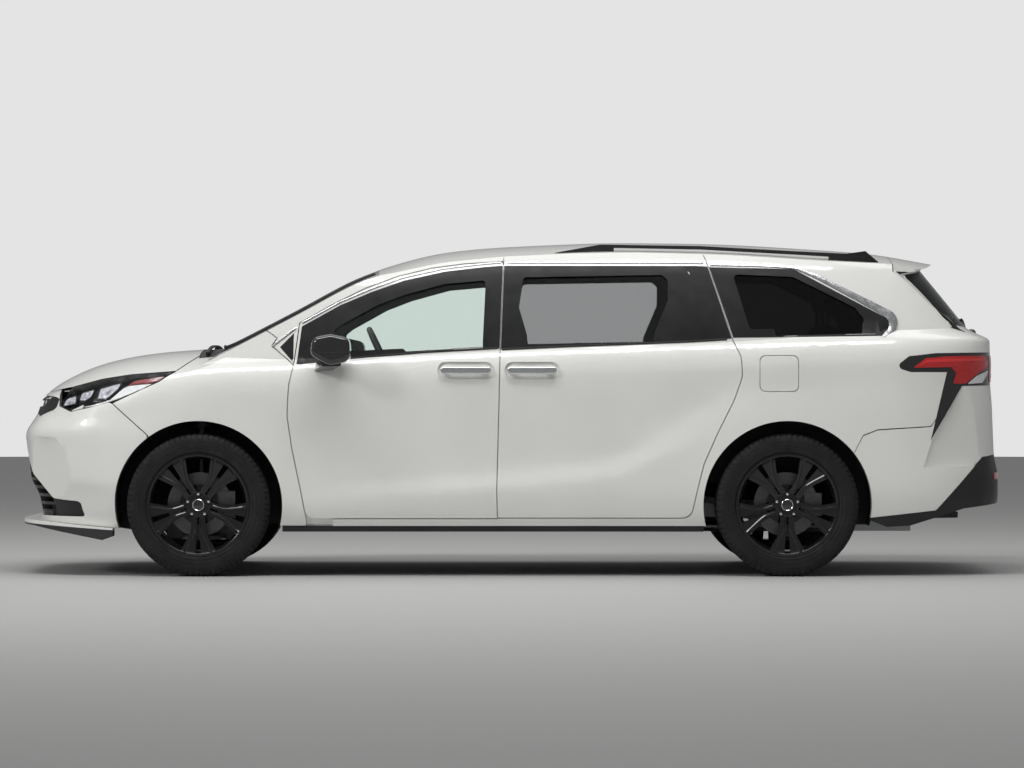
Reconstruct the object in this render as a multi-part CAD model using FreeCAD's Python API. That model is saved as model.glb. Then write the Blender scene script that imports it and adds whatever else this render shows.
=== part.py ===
import FreeCAD
import Part
import math
import os

# Minivan, modelled in millimetres.
# X runs from the nose (negative) to the tail, Y from the left side (negative) to the right, Z is up.
# The origin is on the ground, at the middle of the length and of the width.

# Overall sizes
LENGTH = 5184.0
WIDTH = 1993.0
HEIGHT = 1777.0
WHEELBASE = 3060.0
FRONT_OVERHANG = 975.0
BELT_HEIGHT = 1175.0

# Wheels
TYRE_RADIUS = 371.5
TYRE_WIDTH = 235.0
RIM_RADIUS = 266.0
TRACK = 1715.0
ARCH_RADIUS = 437.0
FLANGE_INSIDE = 14.3
BEAD_DROP = 6.0
FLANGE_RADIUS = RIM_RADIUS + 4.0
BEAD_ROUND = 4.0
HUB_BORE = 60.0
NUT_CIRCLE = 57.0

# Running gear
PIN_CLEARANCE = 0.06
SPINDLE = HUB_BORE - 2 * PIN_CLEARANCE
BALL_PIN = 24.0
ARM_TIP = 22.0
SHAFT = 30.0
KINGPIN_LOW_Y = 775.0
KINGPIN_LOW_Z = 205.0
KINGPIN_HIGH_Y = 655.0
KINGPIN_HIGH_Z = 850.0
STEERING_RAKE = 25.0

# Body construction
SHUT_GAP = 5.0
DOOR_SKIN = 15.0
JAMB_GAP = 6.0
SIDE_WALL = 72.0
PILLAR_WALL = 52.0
ROOF_WALL = 38.0
GLASS_INSET = 7.0
GLASS_THICKNESS = 5.0
SEAT_GAP = 0.3
RAIL_Y = -425.0
RAIL_LOW_Z = 420.0
JACK_PAD_Z = 240.0

# Places that follow from the sizes above
NOSE_X = -LENGTH / 2
TAIL_X = LENGTH / 2
FRONT_AXLE_X = NOSE_X + FRONT_OVERHANG
REAR_AXLE_X = FRONT_AXLE_X + WHEELBASE
HALF_WIDTH = WIDTH / 2
AXLE_HEIGHT = TYRE_RADIUS
WHEEL_Y = TRACK / 2
RAIL_STAND = 15.0
ROOF_TOP = HEIGHT - RAIL_STAND
RAW_TOP = BELT_HEIGHT + 235.0
RAW_BOTTOM = 150.0
MID_HEIGHT = 900.0
CABIN_MID_HEIGHT = 1450.0


def vec(x, y, z):
    return FreeCAD.Vector(x, y, z)


def ease(t):
    """Smooth rise from 0 to 1 as t goes from 0 to 1."""
    t = min(1.0, max(0.0, t))
    return t * t * (3.0 - 2.0 * t)


def through(points, t):
    """Value at t of the smooth curve through (t, value) points, with no overshoot between them."""
    if t <= points[0][0]:
        return points[0][1]
    if t >= points[-1][0]:
        return points[-1][1]
    slopes = [
        (points[i + 1][1] - points[i][1]) / (points[i + 1][0] - points[i][0])
        for i in range(len(points) - 1)
    ]
    tangents = [slopes[0]]
    for before, after in zip(slopes, slopes[1:]):
        flat = before * after <= 0.0
        tangents.append(0.0 if flat else 2.0 * before * after / (before + after))
    tangents.append(slopes[-1])
    i = max(k for k in range(len(points) - 1) if points[k][0] <= t)
    (t0, v0), (t1, v1) = points[i], points[i + 1]
    span = t1 - t0
    u = (t - t0) / span
    hermite_value = (1 + 2 * u) * (1 - u) ** 2
    hermite_slope = u * (1 - u) ** 2
    return (
        hermite_value * v0
        + hermite_slope * span * tangents[i]
        + (1 - hermite_value) * v1
        - u * u * (1 - u) * span * tangents[i + 1]
    )


def surface(poles):
    """Cubic spline face that follows a grid of poles."""
    rows = len(poles)
    columns = len(poles[0])

    def knots(count):
        return [float(k) for k in range(count - 2)], [4] + [1] * (count - 4) + [4]

    u_knots, u_mults = knots(rows)
    v_knots, v_mults = knots(columns)
    spline = Part.BSplineSurface()
    spline.buildFromPolesMultsKnots(poles, u_mults, v_mults, u_knots, v_knots, False, False, 3, 3)
    return spline.toShape()


# Belt line and side section

def front(x):
    """A place measured back from the front axle."""
    return FRONT_AXLE_X + x


def rear(x):
    """A place measured back from the rear axle."""
    return REAR_AXLE_X + x


def belt(x):
    """Height of the crease where the body side meets the windows."""
    line = [
        (front(-850), -222), (front(-683), -200), (front(-483), -165), (front(-283), -138),
        (front(-123), -113), (front(17), -92), (front(217), -78), (front(493), -67),
        (front(795), -42), (front(1555), 0), (rear(-292), 45), (rear(490), 72), (rear(900), 77),
    ]
    return BELT_HEIGHT + through(line, x)


def widest(x):
    """Half-width of the body side at its shoulder."""
    line = [
        (front(0), 10), (front(420), 20), (front(900), 24), (front(1617), 24), (rear(-840), 20),
        (rear(-400), 8), (rear(0), 1), (rear(450), 8), (rear(800), 20), (rear(1149), 36),
    ]
    return HALF_WIDTH - through(line, x)


def scoop(x, z):
    """How far the door side falls in between the shoulder and the crease that sweeps over the rear wheel."""
    crease = through(
        [
            (front(317), 430), (front(617), 470), (front(1617), 560), (rear(-923), 615),
            (rear(-743), 690), (rear(-543), 810), (rear(-363), 915), (rear(-273), 975),
            (rear(-43), 1000), (rear(557), 1040), (rear(1057), 1060),
        ],
        x,
    )
    depth = through(
        [
            (front(317), 0), (front(667), 14), (front(1117), 22), (rear(-743), 24),
            (rear(-443), 20), (rear(-273), 12), (rear(-43), 9), (rear(1057), 6),
        ],
        x,
    )
    shoulder = belt(x) - 150.0
    fall = ease((z - crease + 105.0) / 105.0)
    rise = 1.0 - ease((z - crease) / max(60.0, shoulder - crease))
    return depth * fall * rise


def side_section(x, z):
    """How far the side lies inside its widest line, below and above the shoulder."""
    low = [(150, 150), (200, 92), (234, 62), (262, 44), (330, 22), (400, 9), (455, 2), (520, 0)]
    high = [(-150, 0), (-105, 5), (-65, 15), (-30, 31), (0, 54), (25, 82), (50, 120), (80, 185),
        (150, 380)]
    return through(low, z) + through(high, z - belt(x))


def flare(x, z):
    """Swelling of the body side round the wheel arches."""
    swell = 0.0
    for axle in (FRONT_AXLE_X, REAR_AXLE_X):
        distance = math.hypot(x - axle, z - AXLE_HEIGHT)
        swell += 9.0 * (1.0 - ease((distance - ARCH_RADIUS) / 130.0))
    return swell * ease((z - 250.0) / 150.0)


def side_y(x, z):
    return widest(x) - side_section(x, z) - scoop(x, z) + min(0.0, flare(x, z) - 9.0) * 0.6


def nose_x(z):
    """Profile of the front along the centre line."""
    line = [
        (150, 190), (234, 122), (300, 87), (370, 74), (440, 57), (470, 30), (520, 18), (650, 10),
        (740, 8), (775, 24), (828, 64), (890, 84), (950, 98), (1000, 108), (1100, 130), (1330, 190),
    ]
    return NOSE_X + through(line, z)


def tail_x(z):
    """Profile of the tail along the centre line."""
    shelf = BELT_HEIGHT + 68.0
    line = [
        (150, 180), (234, 92), (300, 32), (384, 0), (522, 0), (627, 22), (704, 24), (892, 30),
        (969, 36), (1024, 52), (1079, 36), (1170, 42), (shelf - 18, 40), (shelf, 48), (shelf + 12, 72),
        (shelf + 26, 112), (shelf + 42, 152), (shelf + 90, 212),
    ]
    return TAIL_X - through(line, z)


def corner(distance, depth, power, bow):
    """Share of the half-width that a rounded end has reached at a distance from its foremost point."""
    if distance >= depth + bow:
        return 1.0
    low, high = 0.0, 1.0
    for _ in range(30):
        middle = (low + high) / 2
        if corner_distance(middle, depth, power, bow) < distance:
            low = middle
        else:
            high = middle
    return low


def corner_distance(share, depth, power, bow):
    return depth * (1.0 - math.sqrt(max(0.0, 1.0 - share ** power))) + bow * share * share


NOSE_SHAPE = (880.0, 5.0, 22.0)
TAIL_SHAPE = (560.0, 8.0, 20.0)
REAR_GLASS_SHAPE = (480.0, 6.0, 22.0)
END_SHARES = [0.0, 0.12, 0.25, 0.38, 0.5, 0.61, 0.7, 0.78, 0.85, 0.905, 0.95, 0.978]


def steps(start, end, size):
    """Evenly spaced places from start to just before end, about a size apart."""
    count = max(1, round((end - start) / size))
    return [start + (end - start) * i / count for i in range(count)]


def body_rows(x):
    """Heights of the pole rows of the body side, which gather at the belt."""
    low = [RAW_BOTTOM, 200, 240, 275, 320, 370, 420, 455, 490, 530, 575, 620, 670]
    shoulder = belt(x) - 150.0
    middle = [low[-1] + (shoulder - low[-1]) * share for share in (0.25, 0.5, 0.75)]
    high = [belt(x) + offset for offset in (-150, -115, -85, -55, -30, -10, 10, 30, 55, 85)]
    return low + middle + high + [(high[-1] + RAW_TOP) / 2, RAW_TOP]


def body_poles(inset):
    """Pole grid of the body wall, from the nose round the left side to the tail."""
    grid = []
    for share in END_SHARES:
        reach = corner_distance(share, *NOSE_SHAPE)
        column = []
        for z in body_rows(nose_x(MID_HEIGHT) + reach):
            x = nose_x(z) + inset + reach
            column.append(vec(x, -share * (side_y(x, z) - inset), z))
        grid.append(column)

    def nose_end(z):
        return nose_x(z) + inset + corner_distance(END_SHARES[-1], *NOSE_SHAPE) + 60.0

    def tail_end(z):
        return tail_x(z) - inset - corner_distance(END_SHARES[-1], *TAIL_SHAPE) - 60.0

    def door_start(z):
        return front(620)

    def door_end(z):
        return rear(-1050)

    spans = [(nose_end, door_start, 16), (door_start, door_end, 13), (door_end, tail_end, 25)]
    for start, end, count in spans:
        for i in range(count):
            share = i / count
            middle = start(MID_HEIGHT) * (1.0 - share) + end(MID_HEIGHT) * share
            column = []
            for z in body_rows(middle):
                x = start(z) * (1.0 - share) + end(z) * share
                width = corner(x - nose_x(z) - inset, *NOSE_SHAPE)
                width *= corner(tail_x(z) - inset - x, *TAIL_SHAPE)
                column.append(vec(x, -width * (side_y(x, z) - inset), z))
            grid.append(column)
    for share in reversed(END_SHARES):
        reach = corner_distance(share, *TAIL_SHAPE)
        column = []
        for z in body_rows(tail_x(MID_HEIGHT) - reach):
            x = tail_x(z) - inset - reach
            column.append(vec(x, -share * (side_y(x, z) - inset), z))
        grid.append(column)
    return grid


# Upper body: glasshouse sides, roof and windshield

def roof_z(x):
    """Profile of the windshield and the roof along the centre line."""
    line = [
        (front(-183), -708), (front(92), -567), (front(508), -354), (front(929), -139),
        (front(1053), -102), (front(1162), -72), (front(1271), -52), (front(1380), -39),
        (front(1489), -29), (front(1598), -22), (front(1860), -10), (rear(-890), 0),
        (rear(-443), -4), (rear(254), -40), (rear(521), -62), (rear(607), -76), (rear(900), -130),
    ]
    return ROOF_TOP + through(line, x)


def roof_height(x, y):
    arch = 14000.0 - 6600.0 * ease((x - front(700)) / 450.0)
    return roof_z(x) - y * y / arch


def cabin_y(x, z):
    """Half-width of the glasshouse."""
    narrowing = through(
        [
            (front(0), 78), (front(133), 55), (front(417), 25), (front(717), 10), (front(1117), 0),
            (rear(-400), 0), (rear(0), 10), (rear(460), 35), (rear(900), 45),
        ],
        x,
    )
    lean = through(
        [(-200, -22), (0, 0), (100, 24), (200, 54), (300, 90), (400, 132), (500, 186), (650, 290)],
        z - belt(x),
    )
    eave = roof_z(max(x, front(1000))) - 65.0
    roll = through([(-60, 0), (-20, 8), (20, 30), (60, 78), (130, 210)], z - eave)
    return widest(x) - 57.0 - narrowing - lean - roll


def rear_glass_x(z):
    """Profile of the rear window along the centre line."""
    line = [
        (950, 150), (1150, 125), (1230, 112), (1262, 124), (1281, 137), (1607, 392), (1684, 452),
        (1850, 590),
    ]
    return TAIL_X - through(line, z)


def cabin_rows(x):
    base = belt(x)
    low = [RAW_BOTTOM + 800.0, base - 40.0]
    middle = [base + offset for offset in (0, 50, 100, 150, 200, 250, 300, 350)]
    top = ROOF_TOP + 70.0
    last = middle[-1]
    eave = max(roof_z(max(x, front(1000))) - 125.0, last + 25.0)
    high = [(last + eave) / 2] + [eave + offset for offset in (0, 30, 60, 90, 125)]
    return low + middle + high + [top]


def cabin_poles(inset):
    """Pole grid of the glasshouse wall, from the middle of the dashboard round the left side to the tail."""
    start = front(-100)
    grid = []
    for share in (0.0, 0.3, 0.6, 0.9):
        column = [vec(start, -share * (cabin_y(start, z) - inset), z) for z in cabin_rows(start)]
        grid.append(column)

    def cabin_start(z):
        return start

    def door_start(z):
        return front(620)

    def door_end(z):
        return rear(-500)

    def tail_end(z):
        return rear_glass_x(z) - inset - corner_distance(END_SHARES[-1], *REAR_GLASS_SHAPE) - 60.0

    spans = [(cabin_start, door_start, 9), (door_start, door_end, 15), (door_end, tail_end, 11)]
    for first, last, count in spans:
        for i in range(count):
            share = i / count
            middle = first(CABIN_MID_HEIGHT) * (1.0 - share) + last(CABIN_MID_HEIGHT) * share
            column = []
            for z in cabin_rows(middle):
                x = first(z) * (1.0 - share) + last(z) * share
                width = corner(rear_glass_x(z) - inset - x, *REAR_GLASS_SHAPE)
                column.append(vec(x, -width * (cabin_y(x, z) - inset), z))
            grid.append(column)
    for share in reversed(END_SHARES):
        reach = corner_distance(share, *REAR_GLASS_SHAPE)
        column = []
        for z in cabin_rows(rear_glass_x(CABIN_MID_HEIGHT) - reach):
            x = rear_glass_x(z) - inset - reach
            column.append(vec(x, -share * (cabin_y(x, z) - inset), z))
        grid.append(column)
    return grid


def hood_height(x, y):
    """Height of the hood and of the cowl behind it."""
    line = [
        (NOSE_X - 60, 740), (NOSE_X + 102, 950), (NOSE_X + 122, 968), (front(-731), 1043),
        (front(-556), 1114), (front(-380), 1153), (front(-204), 1175), (front(-28), 1187),
        (front(117), 1197), (front(317), 1215), (front(617), 1245), (front(1617), 1305),
        (TAIL_X + 60, 1306),
    ]
    droop = through(
        [
            (NOSE_X + 102, 170), (front(-678), 160), (front(-383), 135), (front(-123), 120),
            (front(17), 100), (front(167), 60), (front(317), 0),
        ],
        x,
    )
    return through(line, x) - droop * (abs(y) / 900.0) ** 2.6


def under(height, places, drop):
    """Solid below a height field over the left half of the plan."""
    across = [0.0, -150.0, -300.0, -450.0, -600.0, -720.0, -820.0, -910.0, -1020.0]
    poles = [[vec(x, y, height(x, y) - drop) for y in across] for x in places]
    return surface(poles).extrude(vec(0, 0, -2200))


def wall_solid(poles):
    """Left half of a closed body: the wall that the poles follow, with flat ends and a flat centre face."""
    wall = surface(poles)
    low = poles[0][0].z
    high = poles[0][-1].z
    bottom = [edge for edge in wall.Edges if abs(edge.BoundBox.ZMax - low) < 0.01][0]
    top = [edge for edge in wall.Edges if abs(edge.BoundBox.ZMin - high) < 0.01][0]
    ends = [edge for edge in wall.Edges if edge.BoundBox.YMin > -0.01]
    bottom_line = Part.makeLine(poles[0][0], poles[-1][0])
    top_line = Part.makeLine(poles[0][-1], poles[-1][-1])
    faces = [
        wall,
        Part.Face(Part.Wire([bottom, bottom_line])),
        Part.Face(Part.Wire([top, top_line])),
        Part.Face(Part.Wire(Part.__sortEdges__(ends + [bottom_line, top_line]))),
    ]
    shell = Part.makeShell(faces)
    shell.sewShape()
    solid = Part.Solid(shell)
    if solid.Volume < 0:
        solid.reverse()
    return solid


def lower_body(inset, top_inset):
    places = steps(NOSE_X - 60, front(117), 90) + steps(front(117), TAIL_X + 60, 260) + [TAIL_X + 60]
    return wall_solid(body_poles(inset)).common(under(hood_height, places, top_inset))


def upper_body(inset, top_inset):
    places = steps(front(-160), front(900), 110) + steps(front(900), TAIL_X + 60, 110) + [TAIL_X + 60]
    return wall_solid(cabin_poles(inset)).common(under(roof_height, places, top_inset))


# Outlines and prisms

def offset_outline(points, distance):
    """Closed outline of (a, b) or (a, b, radius) points, moved outwards by a distance."""
    count = len(points)
    area = sum(
        points[i][0] * points[(i + 1) % count][1] - points[(i + 1) % count][0] * points[i][1]
        for i in range(count)
    )
    side = 1.0 if area > 0 else -1.0
    moved = []
    for i in range(count):
        before, here, after = points[i - 1], points[i], points[(i + 1) % count]
        first = (here[0] - before[0], here[1] - before[1])
        second = (after[0] - here[0], after[1] - here[1])
        first_length = math.hypot(*first)
        second_length = math.hypot(*second)
        n1 = (side * first[1] / first_length, -side * first[0] / first_length)
        n2 = (side * second[1] / second_length, -side * second[0] / second_length)
        scale = distance / (1.0 + n1[0] * n2[0] + n1[1] * n2[1])
        moved.append((here[0] + (n1[0] + n2[0]) * scale,
            here[1] + (n1[1] + n2[1]) * scale) + tuple(here[2:]))
    return moved


def outline_wire(points, place):
    """Wire through the points of a closed outline, with an arc at each point that has a radius."""
    count = len(points)
    starts, ends, middles = [], [], []
    for i in range(count):
        before, here, after = points[i - 1], points[i], points[(i + 1) % count]
        corner_point = vec(here[0], here[1], 0)
        to_before = vec(before[0], before[1], 0) - corner_point
        to_after = vec(after[0], after[1], 0) - corner_point
        radius = here[2] if len(here) > 2 else 0.0
        turn = math.pi - to_before.getAngle(to_after)
        cut = radius * math.tan(turn / 2)
        cut = min(cut, 0.46 * to_before.Length, 0.46 * to_after.Length)
        if cut < 0.01:
            starts.append(corner_point)
            ends.append(corner_point)
            middles.append(None)
            continue
        radius = cut / math.tan(turn / 2)
        start = corner_point + to_before.normalize() * cut
        end = corner_point + to_after.normalize() * cut
        bisector = (start + end) / 2 - corner_point
        reach = math.hypot(cut, radius) - radius
        starts.append(start)
        ends.append(end)
        middles.append(corner_point + bisector.normalize() * reach)
    edges = []
    for i in range(count):
        if middles[i] is not None:
            arc = Part.Arc(place(starts[i]), place(middles[i]), place(ends[i]))
            edges.append(arc.toShape())
        following = starts[(i + 1) % count]
        if (following - ends[i]).Length > 0.001:
            edges.append(Part.makeLine(place(ends[i]), place(following)))
    return Part.Wire(edges)


def side_prism(points, y_from=-1100.0, y_to=0.0):
    """Solid that an outline of (x, z) points sweeps across the car."""
    wire = outline_wire(points, lambda p: vec(p.x, y_from, p.y))
    return Part.Face(wire).extrude(vec(0, y_to - y_from, 0))


def plan_prism(points, z_from, z_to):
    """Solid that an outline of (x, y) points sweeps upwards."""
    wire = outline_wire(points, lambda p: vec(p.x, p.y, z_from))
    return Part.Face(wire).extrude(vec(0, 0, z_to - z_from))


def end_prism(points, x_from, x_to):
    """Solid that an outline of (y, z) points sweeps along the car."""
    wire = outline_wire(points, lambda p: vec(x_from, p.x, p.y))
    return Part.Face(wire).extrude(vec(x_to - x_from, 0, 0))


def block(x0, x1, y0, y1, z0, z1):
    return Part.makeBox(x1 - x0, y1 - y0, z1 - z0, vec(x0, y0, z0))


def axle_cylinder(x, z, radius, y_from, y_to):
    return Part.makeCylinder(radius, y_to - y_from, vec(x, y_from, z), vec(0, 1, 0))


def mirrored(shape):
    return shape.mirror(vec(0, 0, 0), vec(0, 1, 0))


def whole(half):
    """Both halves of a piece that crosses the centre line, joined."""
    return half.fuse(mirrored(half))


def facet(outline, corners):
    """Wedge that leaves a flat facet through three skin points, over a side outline."""
    first, second, third = corners
    normal = (second - first).cross(third - first)

    def place(p):
        return vec(p.x, first.y - (normal.x * (p.x - first.x) + normal.z * (p.y - first.z)) / normal.y,
            p.y)

    return Part.Face(outline_wire(outline, place)).extrude(vec(0, -400, 0))


def pair(left):
    return Part.makeCompound([left, mirrored(left)])


def largest(shape):
    """The main solid of a cut, without the slivers beside it."""
    return max(shape.Solids, key=lambda solid: solid.Volume)


# Side outlines, as (x, z) points

FRONT_DOOR = [
    (front(522), 1318), (front(493), 1094), (front(470), 991), (front(462), 836), (front(487), 664),
    (front(530), 458), (front(560), 300, 45), (front(1554), 300), (front(1551), 458),
    (front(1563), 922), (front(1568), 1172), (front(1586), 1643, 12), (front(1519), 1638),
    (front(1381), 1630), (front(1208), 1607), (front(1035), 1564), (front(862), 1500), (front(689), 1413),
]
FRONT_WINDOW = [
    (front(556), 1130, 12), (front(556), 1292, 30), (front(689), 1372), (front(862), 1458),
    (front(1035), 1521), (front(1208), 1564), (front(1381), 1588), (front(1494), 1596, 30),
    (front(1500), 1192, 20), (front(795), 1154),
]
SLIDING_DOOR = [
    (front(1554), 303), (front(1551), 458), (front(1563), 922), (front(1568), 1172), (front(1591), 1760),
    (rear(-450), 1760), (rear(-443), 1712), (rear(-408), 1625), (rear(-278), 1218, 60),
    (rear(-240), 1140, 80),
    (rear(-235), 1036, 80), (rear(-278), 914), (rear(-365), 741), (rear(-434), 585), (rear(-469), 446),
    (rear(-500), 303, 60),
]
SLIDING_WINDOW = [
    (front(1652), 1206, 25), (front(1655), 1604, 30), (rear(-512), 1601, 40), (rear(-415), 1226, 40),
]
QUARTER_WINDOW = [
    (rear(-262), 1242, 25), (rear(-368), 1600, 30), (rear(25), 1580, 60), (rear(495), 1357, 30),
    (rear(530), 1308, 30), (rear(470), 1264, 30),
]
HEADLAMP = [
    (front(-740), 885), (front(-678), 983), (front(-510), 1026), (front(-356), 1049), (front(-130), 1064),
    (front(-203), 1014), (front(-356), 945), (front(-471), 906), (front(-586), 876), (front(-675), 857),
]
HOOD = [
    (NOSE_X - 60, 944), (front(-858), 952), (front(-740), 972), (front(-678), 983), (front(-510), 1026),
    (front(-356), 1049), (front(-122), 1066), (front(-16), 1148), (front(-23), 1300), (NOSE_X - 60, 1300),
]
FENDER = [
    (front(-451), 900), (front(-356), 945), (front(-203), 1014), (front(-122), 1066), (front(-16), 1148),
    (front(-16), 1420), (front(327), 1420), (front(327), 1294), (front(405), 1239), (front(378), 1199),
    (front(490), 1102), (front(493), 1094), (front(470), 991), (front(462), 836), (front(487), 664),
    (front(530), 458), (front(560), 300), (front(560), 262), (front(0), 262), (front(-263), 735),
]
FRONT_BUMPER = [
    (NOSE_X - 60, 944), (front(-858), 952), (front(-740), 972), (front(-740), 885), (front(-675), 857),
    (front(-586), 876), (front(-471), 906), (front(-451), 900), (front(-263), 735), (front(-263), 500),
    (front(-415), 400), (front(-415), 246), (front(-870), 282), (NOSE_X - 60, 290),
]
REAR_BUMPER = [
    (rear(390), 732), (rear(467), 762), (rear(745), 779), (rear(905), 1010), (TAIL_X + 60, 1010),
    (TAIL_X + 60, 640), (rear(1027), 617), (rear(775), 341), (rear(427), 303), (rear(300), 303),
    (rear(300), 560),
]
REAR_VALANCE = [
    (rear(427), 303), (rear(775), 341), (rear(1027), 617), (TAIL_X + 60, 640), (TAIL_X + 60, 384),
    (rear(922), 351), (rear(639), 263), (rear(518), 257), (rear(440), 288),
]
TAIL_LAMP = [
    (rear(558), 1088, 20), (rear(631), 1144), (rear(771), 1160), (TAIL_X + 60, 1168), (TAIL_X + 60, 995),
    (rear(914), 990), (rear(745), 708), (rear(832), 1062), (rear(640), 1062),
]
GATE_TOP_X = rear(570)


def roof_edge(x):
    """Half-width at which the roof meets the glasshouse side."""
    y = 700.0
    for _ in range(8):
        z = roof_height(x, y)
        y = cabin_y(x, z) * corner(rear_glass_x(z) - x, *REAR_GLASS_SHAPE)
    return y


def gate_edge(z):
    """Half-width of the tailgate opening."""
    return through([(600, 640), (1000, 690), (1120, 735), (1250, 752), (1309, 745), (1568, 715),
        (1800, 700)], z)


def gate_outline(inset):
    """Left half of the tailgate seen from behind, as (y, z) points."""
    low = GATE_LOW_Z + inset
    heights = [low, 1000, 1120, 1250, 1309, 1568, 1850]
    edge = [(-gate_edge(z) + inset, z) for z in heights]
    return [(0.0, low)] + [edge[0] + (60,)] + edge[1:] + [(0.0, 1850)]


def roof_outline(inset):
    """Left half of the roof panel seen from above, as (x, y) points."""
    first = ROOF_FRONT_X + inset
    last = GATE_TOP_X - inset
    places = [first + (last - first) * i / 8 for i in range(9)]
    return [(first, 0.0)] + [(x, -roof_edge(x) + 4.0 + inset) for x in places] + [(last, 0.0)]


FUEL_DOOR = [(rear(-144), 961, 30), (rear(-144), 1148, 30), (rear(56), 1148, 30), (rear(56), 961, 30)]
FRONT_FACET = [
    (NOSE_X, 735), (front(-755), 718), (front(-718), 672), (front(-683), 600), (front(-633), 420),
    (front(-770), 395), (NOSE_X, 395),
]
FRONT_FACET_PLANE = [vec(front(-868), -695, 721), vec(front(-698), -844, 598),
    vec(front(-770), -741, 408)]
REAR_FACET = [
    (rear(752), 712), (rear(707), 568), (rear(988), 572), (TAIL_X, 640), (TAIL_X, 1000),
    (rear(915), 1000),
]
REAR_FACET_PLANE = [vec(rear(707), -959, 575), vec(rear(977), -849, 600), vec(rear(907), -887, 950)]
SIDE_PANEL = [
    (front(332), 1850), (front(332), 1296), (front(410), 1241), (front(383), 1199), (front(495), 1104),
    (front(700), 1104), (front(700), 262), (rear(0), 262), (rear(427), 262), (rear(427), 305),
    (rear(300), 560),
    (rear(390), 735), (rear(467), 765), (rear(745), 782), (rear(908), 1013), (TAIL_X + 60, 1013),
    (TAIL_X + 60, 1850),
]
HINGE_PILLAR = [(front(332), 1290), (front(332), 262), (front(760), 262), (front(760), 1290)]
FLOOR_Z = 300.0
REAR_FLOOR_Z = 585.0
SILL_Z = 262.0
GATE_LOW_Z = 640.0
ROOF_FRONT_X = front(927)
WINDSHIELD = [
    (front(80), 0), (front(95), -400), (front(135), -690), (front(190), -790, 60), (front(560), -752),
    (front(923), -672, 60), (front(922), -400), (front(922), 0),
]
COWL = [(front(-16), 12), (front(-16), -690), (front(135), -745), (front(135), -690), (front(95), -400),
    (front(80), 12)]
REAR_WINDOW = [(12, 1612), (-480, 1602), (-700, 1572, 30), (-737, 1312, 40), (-480, 1288), (12, 1284)]
SPOILER_SIDE = [
    (GATE_TOP_X, 1800), (rear(819), 1800), (rear(819), 1641), (rear(757), 1612), (rear(614), 1571),
    (GATE_TOP_X, 1600),
]
SPOILER_PLAN = [
    (GATE_TOP_X + 2.5, 0), (GATE_TOP_X + 2.5, -706), (rear(690), -698, 40), (rear(790), -600, 120),
    (rear(819), -300), (rear(819), 0),
]
LOWER_GRILLE = [(12, 738), (-430, 735), (-520, 690, 30), (-735, 402, 20), (-845, 388, 15),
    (-835, 308, 15), (12, 312)]
LIP_HALF_WIDTH = 940.0
UPPER_GRILLE = [(12, 938), (-560, 938, 20), (-620, 900, 15), (-560, 845, 15), (12, 832)]
GATE_LAMP = [(-900, 1300), (-420, 1300), (-440, 950), (-900, 950)]
HALF_GAP = SHUT_GAP / 2
DOOR_STEP = 22.0
FUEL_GROOVE = 3.5
HANDLE_Z = 1070.0
CUP_DEPTH = 12.0
FRONT_HANDLE = (front(1256), front(1522))
SLIDING_HANDLE = (front(1604), front(1864))
FLANGE_STEP = 14.0
JACK_PAD_X = (front(640), rear(-600))
STEERING_CENTRE = vec(front(945), -385, 1130)
STEERING_AXIS = vec(math.cos(math.radians(STEERING_RAKE)), 0, math.sin(math.radians(STEERING_RAKE)))

def body_solid(inset, cabin_inset, top_inset):
    """Left half of the closed body form, lower body and glasshouse together, moved inwards."""
    return lower_body(inset, top_inset).fuse(upper_body(cabin_inset, top_inset))


def sheet(height, places, drop, thickness):
    """Layer of even depth below a height field, over the left half of the plan."""
    across = [0.0, -150.0, -300.0, -450.0, -600.0, -720.0, -820.0, -910.0, -1020.0]
    poles = [[vec(x, y, height(x, y) - drop) for y in across] for x in places]
    return surface(poles).extrude(vec(0, 0, -thickness))


outer = body_solid(0, 0, 0)
skin = body_solid(DOOR_SKIN, DOOR_SKIN, DOOR_SKIN)
seat = body_solid(DOOR_SKIN + JAMB_GAP, DOOR_SKIN + JAMB_GAP, DOOR_SKIN + JAMB_GAP)
inner = body_solid(SIDE_WALL, PILLAR_WALL, ROOF_WALL)

nodes = {}


def arch(x, radius, y_from, y_to):
    return axle_cylinder(x, AXLE_HEIGHT, radius, y_from, y_to)


front_arch = arch(FRONT_AXLE_X, ARCH_RADIUS, -1200, -300)
rear_arch = arch(REAR_AXLE_X, ARCH_RADIUS, -1200, -300)
roof_zone = plan_prism(roof_outline(-HALF_GAP), 1200, 1900)
gate_zone = end_prism(gate_outline(-HALF_GAP), GATE_TOP_X - HALF_GAP, TAIL_X + 100)
gate_solid = end_prism(gate_outline(HALF_GAP), GATE_TOP_X + HALF_GAP, TAIL_X + 100)
windshield_zone = plan_prism(offset_outline(WINDSHIELD, 0.3), 1000, 1800)


def door(outline, window, others):
    """Left door: an outer skin out to its shut line, and an inner shell that steps inside the body's flange."""
    whole_door = side_prism(offset_outline(outline, -HALF_GAP))
    ring = whole_door.cut(side_prism(offset_outline(outline, -DOOR_STEP)))
    rebate = skin.common(ring)
    return largest(outer.common(whole_door).cut([inner, rebate, side_prism(window)] + others))


def handle_cup(x0, x1):
    """Shallow oval recess of the skin behind a pull handle."""
    low, high = HANDLE_Z - 45, HANDLE_Z + 45
    oval = side_prism(
        [(x0 - 12, low, 44), (x0 - 12, high, 44), (x1 + 12, high, 44), (x1 + 12, low, 44)], -1050, -900)
    return oval.cut(wall_solid(body_poles(CUP_DEPTH)))


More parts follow.
